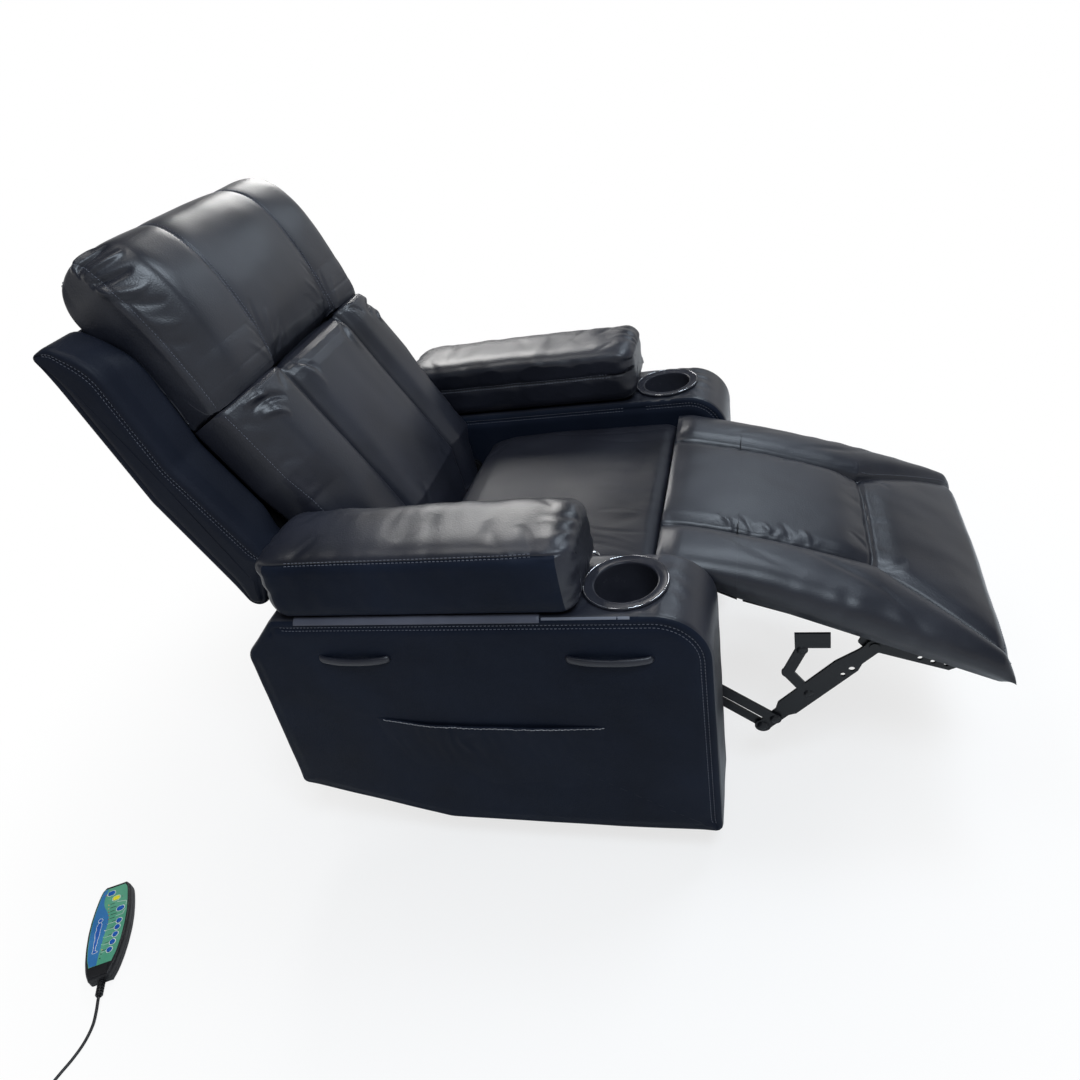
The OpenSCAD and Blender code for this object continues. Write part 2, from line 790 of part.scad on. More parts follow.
// Plate along the line between the long link's end pivots, wider over its middle
module long_link_plate() {
    reach = norm(pivot_c - pivot_b2);
    h = long_link_half;
    translate(pivot_b2)
        rotate(atan2(pivot_c[1] - pivot_b2[1], pivot_c[0] - pivot_b2[0])) difference() {
            union() {
                for (end = [0, reach]) translate([end, 0]) circle(eye_share * h);
                polygon([
                    [5, -h], [45, -h], [60, -20], [190, -20], [232, -h], [reach - 5, -h],
                    [reach - 5, h], [215, h], [200, 18], [62, 18], [50, h], [5, h]
                ]);
            }
            translate([178, 8]) circle(4);
            translate([196, 9]) circle(5);
        }
}
module long_links() {
    color(black_steel) both_sides() difference() {
        along_x(layer_b, layer_b + link_thickness) {
            long_link_plate();
            bar_outline(pivot_m, arm_bend, tab_arm_half);
            bar_outline(arm_bend, arm_elbow, tab_arm_half);
            translate([tab_y[0], tab_z[0]]) square([tab_y[1] - tab_y[0], tab_z[1] - tab_z[0]]);
        }
        pin_x(pivot_b, pin_radius + pin_clearance, layer_b - 1, layer_a);
        pin_x(pivot_c, pin_radius + pin_clearance, layer_b - 1, layer_a);
        pin_x(pivot_b2, pin_radius + 2.5, layer_b - 1, layer_a);
    }
}

module guide_links() {
    color(black_steel) both_sides() {
        difference() {
            along_x(layer_g, layer_g + link_thickness) bar_outline(pivot_a2, pivot_b2, guide_link_half);
            pin_x(pivot_a2, pin_radius + pin_clearance, layer_g - 1, layer_g + link_thickness + 1);
        }
        pin_x(pivot_b2, pin_radius, layer_g, layer_b + link_thickness + 0.5);
    }
}

// ---- leg rest ----

function leg_crown_at(s) =
    leg_crown * pow(max(0, 1 - pow(2 * (s + flap_length) / leg_span - 1, 2)), 0.8);
function leg_width(s) = between([
    [-150, seat_half_width - 2], [0, seat_half_width], [60, seat_half_width + 3],
    [leg_pad_length, leg_tip_half_width]
], s);
function leg_seam(s) = between([[197, leg_seam_x], [leg_pad_length, leg_tip_half_width * 0.9]], s);
leg_in = [0, 0.4, 0.8, 0.94, 1];
leg_out = [0.06, 0.2, 0.5, 0.8, 0.93, 0.98, 1];
function leg_across(s) =
    let (c = leg_seam(s), w = leg_width(s),
         half = [for (a = leg_in) a * c, for (b = leg_out) c + b * (w - c)])
    [for (k = [len(half) - 1 : -1 : 1]) -half[k], each half];
// The cut between flap and leg rest leans back as it rises, so that the leg rest can lift off
function leg_point(x, s, h) =
    [x, -s + cut_lean * max(0, 1 - abs(s) / cut_reach) * (h - board_low), h];
function leg_ring(s, top, low) =
    let (w = leg_width(s), edge = low + (top - low) * 0.4, cross_seam = 7 * groove(s - 197, 7))
    [
        for (x = leg_across(s))
            let (inner = abs(x) < leg_seam(s) + 1 ? 1 : 0)
            leg_point(x, s, edge + (top - cross_seam * inner - edge)
                * pow(max(0, 1 - pow(abs(x) / w, 5)), 0.45) - 6 * groove(abs(x) - leg_seam(s), 9)),
        leg_point(w, s, low + (edge - low) * 0.4),
        leg_point(w - 8, s, low),
        leg_point(-w + 8, s, low),
        leg_point(-w, s, low + (edge - low) * 0.4)
    ];
ottoman_low = board_top + 0.3;
ottoman_rings = [
    for (s = [0.4, 60, 130, 180, 190, 197, 204, 214, 250, 300, leg_pad_length - 60, leg_pad_length - 25])
        [s, leg_crown_at(s), ottoman_low],
    [leg_pad_length - 10, -4, ottoman_low + 1], [leg_pad_length - 3, -10, ottoman_low + 5],
    [leg_pad_length, -18, ottoman_low + 9]
];
module ottoman_pad() {
    color(leather) on_leg() loft([for (r = ottoman_rings) leg_ring(r[0], r[1], r[2])], false);
}
flap_rings = [
    [-142.5, 0, -4], [-138, 4, -12], [-128, leg_crown_at(-128), -17.5],
    for (s = [-90, -40, -0.4]) [s, leg_crown_at(s), -17.5 - 15.5 * (s + 128) / 128]
];
module flap_pad() {
    color(leather) on_leg() loft([for (r = flap_rings) leg_ring(r[0], r[1], r[2])], false);
}

module flap_board() {
    color(board_wood) {
        difference() {
            on_leg() along_x(-plate_layer, plate_layer) polygon(flap_board_profile);
            on_leg() both_sides() along_x(leg_board_half, plate_outer)
                translate([-1, 2 * board_low]) square([flap_board_notch + 1, -2 * board_low]);
        }
        both_sides() difference() {
            union() {
                along_x(plate_outer, plate_outer + 4) translate(flap_pivot) circle(7);
                on_leg() along_x(plate_layer, plate_outer + 4) polygon(flap_tab_profile);
            }
            pin_x(flap_pivot, 4 + pin_clearance, plate_outer - 1, plate_outer + 5);
        }
    }
}

module ottoman_board() {
    color(board_wood) on_leg() along_x(-leg_board_half, leg_board_half)
        polygon([
            [-leg_board_rear, board_top], [-leg_board_front, board_top],
            [-leg_board_front, board_low], [-leg_board_rear, board_low]
        ]);
}

module ottoman_brackets() {
    color(black_steel) on_leg() both_sides() {
        difference() {
            along_x(layer_g, layer_g + link_thickness) polygon(bracket_profile);
            along_x(layer_g - 1, layer_b) {
                for (k = [0 : 5]) translate([-250 - 16 * k, -42]) circle(3);
                for (place = bracket_slots) translate(place) circle(4);
            }
        }
        pin_x([-pivot_c_local[0], pivot_c_local[1]], pin_radius, layer_b - 1, layer_a);
        pin_x([-pivot_c_local[0], pivot_c_local[1]], 8, layer_a - 0.3, layer_a + 1.5);
    }
}

module ottoman_motor() {
    color(black_plastic) on_leg() translate([0, -200, board_low - 20]) cylinder(r = 24, h = 20);
}

// ---- handset ----

module on_handset(z = 0) {
    translate([handset_centre[0], handset_centre[1], z]) rotate(handset_turn) children();
}
function mirrored(half, inset) = [
    for (p = half) [p[1] - inset, p[0]],
    for (k = [len(half) - 1 : -1 : 0]) [-half[k][1] + inset, half[k][0]]
];
module shell_outline(inset = 0) {
    scale_y = (handset_length / 2 - inset) / (handset_length / 2);
    polygon([for (p = mirrored(outline_half, inset)) [p[0], p[1] * scale_y]]);
}
module oval(grow = 0) {
    half = oval_half + [grow, grow];
    reach = half[0] - half[1];
    translate([-reach, -half[1]]) square([2 * reach, 2 * half[1]]);
    translate([-reach, 0]) circle(half[1]);
    translate([reach, 0]) circle(half[1]);
}
module key_holes(grow) {
    for (p = oval_places) translate(p) oval(grow);
    for (p = round_places) translate(p) circle(round_radius + grow);
}

module handset_back_shell() {
    color(black_plastic) on_handset(0) {
        difference() {
            linear_extrude(handset_split) shell_outline();
            translate([0, 0, handset_wall]) linear_extrude(handset_split) shell_outline(handset_wall);
        }
        for (x = [-12, 12], y = [-40, 40]) translate([x, y, 0]) cylinder(r = 3, h = board_z);
    }
}

module handset_front_shell() {
    height = handset_thickness - handset_split;
    color(black_plastic) on_handset(handset_split) difference() {
        linear_extrude(height) shell_outline();
        translate([0, 0, -handset_wall]) linear_extrude(height) shell_outline(handset_wall);
        translate([0, 0, height - face_recess]) linear_extrude(handset_wall)
            polygon(mirrored(face_half, 0));
        linear_extrude(height) key_holes(0.4);
        for (p = lamp_places) translate(p) cylinder(r = lamp_radius + 0.2, h = height);
    }
}

module handset_face_panel() {
    color([0.2, 0.55, 0.4]) on_handset(handset_thickness - face_recess) linear_extrude(face_recess)
        difference() {
            polygon(mirrored(face_half, 0.2));
            key_holes(0.4);
            for (p = lamp_places) translate(p) circle(lamp_radius + 0.2);
        }
}

module handset_board() {
    color([0.1, 0.35, 0.15]) on_handset(board_z) linear_extrude(board_thickness)
        polygon([for (p = mirrored(outline_half, 5)) [p[0], p[1] * 0.8]]);
}

module handset_lamps() {
    color([0.9, 0.5, 0.4]) on_handset(lamp_z) for (p = lamp_places)
        translate(p) cylinder(r = lamp_radius, h = handset_thickness - lamp_z + 0.2);
}

module handset_neck_cap() {
    color(black_plastic) on_handset(handset_thickness)
        translate([-15, -92, 0]) cube([30, 20, 1.2]);
}

module strain_relief() {
    color(black_plastic) on_handset(relief_height)
        translate([0, -handset_length / 2, 0]) rotate([90, 0, 0]) difference() {
            union() {
                cylinder(r = 4.6, h = relief_length);
                for (k = [0 : 4]) translate([0, 0, 1 + 5 * k]) cylinder(r = 6.2, h = 2.6);
            }
            translate([0, 0, relief_length - relief_depth])
                cylinder(r = cord_diameter / 2 + 0.1, h = 2 * relief_depth);
        }
}

// Smooth curve through the hand-chosen points, four short steps between each pair
function spline(p0, p1, p2, p3, t) = 0.5 * (
    2 * p1 + (p2 - p0) * t + (2 * p0 - 5 * p1 + 4 * p2 - p3) * t * t
    + (3 * p1 - p0 - 3 * p2 + p3) * t * t * t);
function smooth(route, steps) =
    let (n = len(route))
    [
        for (i = [0 : n - 2], k = [0 : steps - 1])
            spline(route[max(i - 1, 0)], route[i], route[i + 1], route[min(i + 2, n - 1)], k / steps),
        route[n - 1]
    ];
// A point on the line of the strain relief, beyond the handset's end by this much
function relief_point(beyond) = [
    handset_centre[0] + (handset_length / 2 + beyond) * sin(handset_turn),
    handset_centre[1] - (handset_length / 2 + beyond) * cos(handset_turn), relief_height
];
cord_path = smooth([
    relief_point(relief_length - relief_depth), relief_point(relief_length + 1),
    relief_point(relief_length + 7), each cord_route
], 2);
module handset_cord() {
    color(black_plastic) tube(cord_path, cord_diameter / 2, 8);
}

// Coil wound clockwise in two layers: it spirals inward on the floor, climbs in the
// half turn where the spiral reverses, and comes back outward on top
coil_steps = 24;
function coil_point(turns) =
    let (half = coil_loops / 2,
         inward = turns <= half ? turns : coil_loops - turns,
         r = coil_outer - coil_pitch * inward,
         climb = min(1, max(0, turns - half + 0.5)),
         angle = -90 - 360 * turns)
    [coil_centre[0] + r * cos(angle), coil_centre[1] + r * sin(angle), coil_low + coil_pitch * climb];
coil_path = [
    coil_point(0) + [cord_diameter, 0, 0],
    for (i = [0 : coil_loops * coil_steps]) coil_point(i / coil_steps),
    coil_point(coil_loops) - [coil_tail, 0, 0]
];
module handset_coil() {
    color(black_plastic) tube(coil_path, cord_diameter / 2, 6);
}
function path_length(path, i = 0) =
    i >= len(path) - 1 ? 0 : norm(path[i + 1] - path[i]) + path_length(path, i + 1);
// Least gap between two turns: side by side, and lower layer to upper layer
coil_gap = coil_pitch - cord_diameter;
echo(cord_length = path_length(cord_path), coil_length = path_length(coil_path), coil_gap = coil_gap);

module handset_plug() {
    color(black_plastic) translate(coil_path[len(coil_path) - 1]) rotate([0, -90, 0]) {
        cylinder(r = plug_neck[0], h = plug_neck[1]);
        translate([0, 0, plug_neck[1]]) cylinder(r = plug_body[0], h = plug_body[1]);
        translate([0, 0, plug_neck[1] + plug_body[1]]) cylinder(r = plug_shell[0], h = plug_shell[1]);
    }
}

key_height = handset_thickness + key_stand - key_z;
module oval_button(place) {
    on_handset(key_z) translate(place) linear_extrude(key_height) oval();
}
module round_button(place) {
    on_handset(key_z) translate(place) cylinder(r = round_radius, h = key_height);
}
blue_key = [0.1, 0.35, 0.75];
module power_button() {
    color(blue_key) oval_button(oval_places[0]);
}
module heat_button() {
    color([0.9, 0.85, 0.1]) oval_button(oval_places[1]);
}
module mode_button() {
    color(blue_key) oval_button(oval_places[2]);
}
module zone_button_1() {
    color(blue_key) round_button(round_places[0]);
}
module zone_button_2() {
    color(blue_key) round_button(round_places[1]);
}
module zone_button_3() {
    color(blue_key) round_button(round_places[2]);
}
module zone_button_4() {
    color(blue_key) round_button(round_places[3]);
}
module zone_button_5() {
    color(blue_key) round_button(round_places[4]);
}

base_ring();
floor_glides();
swivel_plate();
rocker_cradle();
rocker_shaft();
front_rocker_springs();
rear_rocker_springs();
chassis_frame();
glide_rails();
arm_frames();
right_arm_cover();
left_arm_cover();
right_arm_pad();
left_arm_pad();
right_cup_holder();
left_cup_holder();
right_pocket();
left_pocket();
side_loops();
release_strap();
release_ring();
seat_frame();
seat_webbing();
seat_cushion();
seat_motor();
control_box();
mechanism_plates();
hinge_brackets();
back_frame();
back_shell();
back_cushion();
head_roll();
back_motors();
rear_links();
long_links();
guide_links();
ottoman_board();
ottoman_pad();
ottoman_brackets();
ottoman_motor();
flap_board();
flap_pad();
handset_back_shell();
handset_front_shell();
handset_face_panel();
handset_board();
handset_lamps();
handset_neck_cap();
strain_relief();
handset_cord();
handset_coil();
handset_plug();
power_button();
heat_button();
mode_button();
zone_button_1();
zone_button_2();
zone_button_3();
zone_button_4();
zone_button_5();
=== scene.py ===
"""Looks of a massage recliner: leather, steel, plastics, handset and its cord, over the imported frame.

Shapes are worked out in millimetres as numpy arrays and put into the mesh in metres.
"""
import math

import bpy
import numpy as np
from mathutils import Matrix


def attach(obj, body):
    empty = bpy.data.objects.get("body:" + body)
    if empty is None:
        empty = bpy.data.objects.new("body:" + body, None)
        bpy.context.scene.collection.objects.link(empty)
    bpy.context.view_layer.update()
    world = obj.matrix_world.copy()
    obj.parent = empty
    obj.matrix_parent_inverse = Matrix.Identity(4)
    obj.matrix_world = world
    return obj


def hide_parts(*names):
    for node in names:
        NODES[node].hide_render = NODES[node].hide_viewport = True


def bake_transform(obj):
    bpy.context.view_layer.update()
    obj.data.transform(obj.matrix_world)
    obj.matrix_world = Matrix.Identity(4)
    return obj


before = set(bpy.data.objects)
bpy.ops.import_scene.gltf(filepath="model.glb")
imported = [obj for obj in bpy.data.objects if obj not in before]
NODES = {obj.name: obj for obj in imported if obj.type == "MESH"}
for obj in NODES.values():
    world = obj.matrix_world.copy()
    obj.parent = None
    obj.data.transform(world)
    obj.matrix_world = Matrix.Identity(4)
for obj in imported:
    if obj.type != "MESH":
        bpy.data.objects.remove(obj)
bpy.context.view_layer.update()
MM = 0.001
TAU = 2 * math.pi

# ---- places shared with the solids, millimetres ----
ARM_OUTER, ARM_INNER, ARM_TOP = 410.0, 256.5, 532.0
ARM_EDGE = 11.0
ARM_SIDE = [
    (297, 532, 22), (336, 491, 30), (365, 463, 30), (376, 313, 60), (388, 148, 12), (246, 107, 60),
    (115, 69, 60), (-189, 68, 60), (-360, 73, 12), (-374, 452, 30), (-374, 532, 80),
]
CUP = (-333.0, -254.0)
CUP_BORE, CUP_FLANGE, CUP_DEPTH, CUP_WALL = 45.5, 63.5, 76.0, 1.5
PAD_X, PAD_LOW, PAD_THICK, PAD_HALF = -333.0, 532.4, 126.0, 79.5
PAD_FRONT, PAD_REAR = -203.0, 287.0
STRAP_Y = (-200.0, -180.0)
PAD_FLAT_FROM, PAD_FLATTER, PAD_SEAM_RAW = 620.0, 0.68, 642.0
PAD_SEAM = PAD_FLAT_FROM + PAD_FLATTER * (PAD_SEAM_RAW - PAD_FLAT_FROM)
PAD_INNER_SEAM = 594.0
SEAT_HALF, SEAT_FOOT = 248.0, 374.4
HINGE = (170.0, 420.0)
LEAN = math.radians(27)
BACK_SEAM, BACK_REAR, HEAD_HALF, REAR_HALF = 116.0, -36.0, 262.0, 262.5
WING_INNER, WING_OUTER = 263.0, 340.0
LEG_CUT = (-416.0, 452.0)
SLOPE = math.radians(21.6)
FLAP_LENGTH, FLAP_END, FLAP_ROUND = 143.0, -142.3, -128.0
LEG_LENGTH, LEG_ROUND, LEG_CROWN = 410.0, 386.0, 28.0
LEG_SEAM, LEG_TIP_HALF, LEG_DIVIDER = 137.0, 277.0, 197.0
LEG_SEAM_TIP = LEG_TIP_HALF * 0.9
CUT_LEAN, CUT_REACH, CUT_FOOT = 0.335, 60.0, -45.5
HANDSET_CENTRE = (-650.0, 720.0)
HANDSET_TURN = math.radians(-62.6)
HANDSET_LENGTH, HANDSET_TOP = 188.0, 24.0
CORD_DIAMETER = 5.0
SEAM_INSET, SEAM_LIFT = 15.0, 0.3
LATHE_TURNS = 96


# ---- numbers on arrays ----
LATTICE, LATTICE_START, NOISE_GAIN = 32, 100.37, 1.7
LATTICE_TURN = np.array([[0.66, 0.62, -0.42], [-0.74, 0.42, -0.53], [-0.15, 0.66, 0.74]])


def between(table, at):
    """Straight blend of (place, value) pairs at each place in an array."""
    return np.interp(at, [p[0] for p in table], [p[1] for p in table])


def groove(offset, width):
    """Bell of height 1: e to the minus (offset over width) squared."""
    return np.exp(-((offset / width) ** 2))


def drawn_in(offset, *bells):
    """Sum of bells of (height, width) over the same line, such as a sharp seam in a broad hollow."""
    return sum(height * groove(offset, width) for height, width in bells)


def ease(x):
    """Smooth step from 0 to 1: 3x^2 - 2x^3, held outside."""
    x = np.clip(x, 0, 1)
    return x * x * (3 - 2 * x)


def arch(offset, half, power):
    """Arch of height 1 over half to each side: (1 - (offset over half) squared) to a power, 0 beyond."""
    return np.clip(1 - (offset / half) ** 2, 0, 1) ** power


def noise(points, size, seed):
    """Smooth gradient noise, about -1 to 1, on a repeating lattice turned off the axes, with a fifth-power fade.

    points is (..., 3) in millimetres, size the cell in millimetres, one number or one for each axis.
    """
    slopes = np.random.default_rng(seed).normal(size=(LATTICE, LATTICE, LATTICE, 3))
    slopes /= np.linalg.norm(slopes, axis=-1, keepdims=True)
    p = (np.asarray(points, float) / np.asarray(size, float)) @ LATTICE_TURN + LATTICE_START
    cell = np.floor(p).astype(int)
    f = p - cell
    fade = f**3 * (f * (6 * f - 15) + 10)
    total = 0
    for dx in (0, 1):
        for dy in (0, 1):
            for dz in (0, 1):
                corner = np.array([dx, dy, dz])
                i, j, k = np.moveaxis((cell + corner) % LATTICE, -1, 0)
                reach = np.sum(slopes[i, j, k] * (f - corner), -1)
                wx = fade[..., 0] if dx else 1 - fade[..., 0]
                wy = fade[..., 1] if dy else 1 - fade[..., 1]
                wz = fade[..., 2] if dz else 1 - fade[..., 2]
                total = total + reach * wx * wy * wz
    return NOISE_GAIN * total


def wavy(along, pitch, points, size, seed, wander=3):
    """Sine wave along a coordinate, with TAU times pitch from crest to crest, whose spacing wanders with noise."""
    return np.sin(along / pitch + wander * noise(points, size, seed))


def bevel(x, half):
    """Share of its height that a cushion keeps towards its sides: 1 less a soft ramp over the last width."""
    width, lost, softness = 46.0, 0.42, 0.06
    u = (np.abs(x) - (half - width)) / width
    return 1 - lost * (u + np.sqrt(u * u + softness)) / 2


def signed_power(values, power):
    """Values raised to a power, each keeping its sign."""
    return np.sign(values) * np.abs(values) ** power


def ring_mean(values, reach):
    """Mean of each place of a closed ring and its neighbours within reach places each way."""
    return np.mean([np.roll(values, k, 0) for k in range(-reach, reach + 1)], 0)


def run_along(line):
    """Length along an open line up to each of its points."""
    return np.concatenate([[0], np.cumsum(np.linalg.norm(np.diff(line, axis=0), axis=1))])


def signed_area(outline):
    """Twice the area inside a closed outline, above 0 where it runs anticlockwise."""
    return np.sum(outline[:, 0] * np.roll(outline[:, 1], -1) - outline[:, 1] * np.roll(outline[:, 0], -1))


def even(line, count, closed=True):
    """The same line with its points evenly spaced along its length."""
    line = np.asarray(line, float)
    if closed:
        line = np.vstack([line, line[:1]])
    run = run_along(line)
    at = np.linspace(0, run[-1], count + 1)[:-1] if closed else np.linspace(0, run[-1], count)
    return np.stack([np.interp(at, run, line[:, k]) for k in range(line.shape[1])], 1)


def rounded(corners, count):
    """Closed outline with each (u, v, radius) corner turned into a true arc, evenly spaced.

    An arc takes up half of the shorter side next to it at most, or all of it where the radius is wide.
    """
    wide, straight = 80, 0.495 * math.pi
    out = []
    total = len(corners)
    for i, (u, v, radius) in enumerate(corners):
        here = np.array([u, v], float)
        back = np.array(corners[i - 1][:2], float) - here
        on = np.array(corners[(i + 1) % total][:2], float) - here
        room = 0.49 * min(np.linalg.norm(back), np.linalg.norm(on))
        back /= np.linalg.norm(back)
        on /= np.linalg.norm(on)
        half = 0.5 * math.acos(float(np.clip(back @ on, -1, 1)))
        if half > straight:
            out.append(here)
            continue
        reach = min(radius / math.tan(half), room * (2 if radius >= wide else 1))
        radius = reach * math.tan(half)
        centre = here + (back + on) / np.linalg.norm(back + on) * radius / math.sin(half)
        a = here + back * reach - centre
        b = here + on * reach - centre
        start = math.atan2(a[1], a[0])
        sweep = (math.atan2(b[1], b[0]) - start + math.pi) % TAU - math.pi
        for k in np.linspace(0, 1, 13):
            out.append(centre + radius * np.array([math.cos(start + sweep * k), math.sin(start + sweep * k)]))
    return even(np.array(out), count)


def inward(outline, reach=0.0):
    """Normals of a closed outline that point into it, averaged over reach millimetres each way."""
    along = np.roll(outline, -1, 0) - np.roll(outline, 1, 0)
    side = np.stack([-along[:, 1], along[:, 0]], 1)
    side /= np.linalg.norm(side, axis=1, keepdims=True)
    side = side if signed_area(outline) > 0 else -side
    step = np.mean(np.linalg.norm(np.roll(outline, -1, 0) - outline, axis=1))
    return ring_mean(side, int(round(reach / step)))


def streak(u, v, start, end, width, bow):
    """Ridge of height 1 along a line between two places in two coordinates, bowed sideways, fading at both ends."""
    du, dv = end[0] - start[0], end[1] - start[1]
    length = math.hypot(du, dv)
    t = ((u - start[0]) * du + (v - start[1]) * dv) / length**2
    across = ((u - start[0]) * dv - (v - start[1]) * du) / length - bow * 4 * t * (1 - t)
    return np.exp(-((across / width) ** 2)) * np.sin(math.pi * np.clip(t, 0, 1)) ** 0.7


def streaks(u, v, table):
    """Sum of streaks; each row is (start u, start v, end u, end v, width, bow, height)."""
    return sum(height * streak(u, v, (a, b), (c, d), width, bow) for a, b, c, d, width, bow, height in table)


def block(outline, low, high, radius, steps=24, face_steps=26, seam_rows=6, seam_step=3.0, spread=26.0, spine=None):
    """Rings (along, u, v) of an outline carried from low to high, with its edges rounded by radius.

    Each end face shrinks to its middle, or onto the straight spine between two points. With a spine, points go
    inward by no more than 0.8 of the largest circle that touches the outline there from within.
    Rows go: face, a few rows by equal steps, edge, sides, and back.
    Returns the rings, each row's distance inside the outline, and the rows where the two faces meet the edges.
    """
    normal = inward(outline, spread)
    turn = np.linspace(0, math.pi / 2, 9)
    base = radius + seam_rows * seam_step
    if spine is None:
        middle = outline.mean(0)
    else:
        gap = outline[None] - outline[:, None]
        toward = np.sum(gap * inward(outline)[:, None], -1)
        circle = np.where(toward > 0.5, np.sum(gap**2, -1) / np.maximum(2 * toward, 1e-9), 1e9).min(1)
        normal = normal * ring_mean(np.minimum(1, 0.8 * circle / base), 5)[:, None]
    core = outline + normal * base
    if spine is not None:
        a, b = np.array(spine[0], float), np.array(spine[1], float)
        middle = a + np.clip((core - a) @ (b - a) / np.sum((b - a) ** 2), 0, 1)[:, None] * (b - a)
    reach = float(np.mean(np.linalg.norm(core - middle, axis=1)))
    inner = np.linspace(0.03, 1, face_steps)[:-1]
    half = [(0.0, base + (1 - k) * reach, middle + k * (core - middle)) for k in inner]
    half += [(0.0, radius + k * seam_step, None) for k in range(seam_rows, 0, -1)]
    low_row = len(half)
    half += [(radius * (1 - math.cos(a)), radius * (1 - math.sin(a)), None) for a in turn]
    rows = [(low + a, d, o) for a, d, o in half]
    rows += [(low + radius + k * (high - low - 2 * radius), 0.0, None) for k in np.linspace(0, 1, steps + 2)[1:-1]]
    rows += [(high - a, d, o) for a, d, o in half[::-1]]
    rings = []
    for along, inset, given in rows:
        place = outline + normal * inset if given is None else given
        rings.append(np.column_stack([np.full(len(outline), along), place]))
    return np.array(rings), np.array([d for _, d, _ in rows])[:, None], low_row, len(rows) - 1 - low_row


def normals_of(rings):
    """Outward unit normals of rings (m, n, 3): cross product of the two grid directions."""
    down = np.gradient(rings, axis=0)
    around = np.roll(rings, -1, 1) - np.roll(rings, 1, 1)
    normal = np.cross(down, around)
    size = np.linalg.norm(normal, axis=2, keepdims=True)
    normal = normal / np.maximum(size, 1e-9)
    if np.sum(normal * (rings - rings.mean((0, 1)))) < 0:
        normal = -normal
    return normal


def swell(rings, amount):
    """Rings moved along their normals by amount, in millimetres."""
    return rings + normals_of(rings) * np.asarray(amount)[..., None]


def smooth_route(points, steps):
    """Catmull-Rom curve through points, with equal steps between each pair."""
    p = np.asarray(points, float)
    padded = np.vstack([p[:1], p, p[-1:]])
    out = []
    for i in range(len(p) - 1):
        a, b, c, d = padded[i : i + 4]
        for t in np.arange(steps) / steps:
            out.append(
                0.5 * (2 * b + (c - a) * t + (2 * a - 5 * b + 4 * c - d) * t**2 + (3 * b - a - 3 * c + d) * t**3)
            )
    return np.array(out + [p[-1]])


# ---- from a piece's own directions to the row frame, millimetres ----
def back_place(rings):
    """(x, out of the front, up the lean) to the row frame."""
    x, n, t = np.moveaxis(rings, -1, 0)
    c, s = math.cos(LEAN), math.sin(LEAN)
    return np.stack([x, HINGE[0] + t * s - n * c, HINGE[1] + t * c + n * s], -1)


def leg_place(rings):
    """(x, down the slope, out of the top) to the row frame."""
    x, down, out = np.moveaxis(rings, -1, 0)
    c, s = math.cos(SLOPE), math.sin(SLOPE)
    return np.stack([x, LEG_CUT[0] - down * c - out * s, LEG_CUT[1] - down * s + out * c], -1)


def handset_place(rings):
    """(across, towards the top end, up) to the row frame."""
    x, y, z = np.moveaxis(rings, -1, 0)
    c, s = math.cos(HANDSET_TURN), math.sin(HANDSET_TURN)
    return np.stack([HANDSET_CENTRE[0] + c * x - s * y, HANDSET_CENTRE[1] + s * x + c * y, z], -1)


# ---- meshes ----
def put(name, points, faces, material, body, smooth=True, replaces=()):
    """A mesh object from points in millimetres, on its body, or on none where no body is given."""
    mesh = bpy.data.meshes.new(name)
    mesh.from_pydata((np.asarray(points).reshape(-1, 3) * MM).tolist(), [], faces)
    mesh.validate()
    mesh.update()
    mesh.materials.append(material)
    if smooth:
        mesh.polygons.foreach_set("use_smooth", np.ones(len(mesh.polygons), bool))
    piece = bpy.data.objects.new(name, mesh)
    bpy.context.scene.collection.objects.link(piece)
    if body:
        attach(piece, body)
    if replaces:
        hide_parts(*replaces)
    return piece


def volume(points, triangles):
    """Signed volume inside a closed set of triangles."""
    a, b, c = (points[triangles[:, k]] for k in range(3))
    return float(np.sum(a * np.cross(b, c))) / 6


def ring_faces(m, n):
    """Quads between m rings of n points, closed round each ring."""
    i, j = np.meshgrid(np.arange(m - 1), np.arange(n), indexing="ij")
    k = (j + 1) % n
    return np.stack([i * n + j, i * n + k, (i + 1) * n + k, (i + 1) * n + j], -1).reshape(-1, 4)


def capped(rings, ends=None):
    """Points and outward faces of rings (m, n, 3), closed by fans to two given points or to the end rings' middles."""
    m, n, _ = rings.shape
    if ends is None:
        ends = rings[0].mean(0), rings[-1].mean(0)
    points = np.vstack([rings.reshape(-1, 3), *ends])
    quads = ring_faces(m, n)
    j = np.arange(n)
    k = (j + 1) % n
    first = np.stack([np.full(n, m * n), k, j], 1)
    last = np.stack([np.full(n, m * n + 1), (m - 1) * n + j, (m - 1) * n + k], 1)
    triangles = np.vstack([quads[:, [0, 1, 2]], quads[:, [0, 2, 3]], first, last])
    if volume(points - points.mean(0), triangles) < 0:
        quads, first, last = quads[:, ::-1], first[:, ::-1], last[:, ::-1]
    return points, quads.tolist() + first.tolist() + last.tolist()


def skin(name, rings, material, body, replaces=()):
    """Closed piece from rings (m, n, 3), shaded smooth except over the rims of its two ends."""
    m, n, _ = rings.shape
    points, faces = capped(rings)
    piece = put(name, points, faces, material, body, True, replaces)
    ends = np.empty(2 * len(piece.data.edges), np.int32)
    piece.data.edges.foreach_get("vertices", ends)
    ends = ends.reshape(-1, 2)
    rims = (ends < n).all(1) | ((ends >= (m - 1) * n) & (ends < m * n)).all(1)
    piece.data.edges.foreach_set("use_edge_sharp", rims)
    return piece


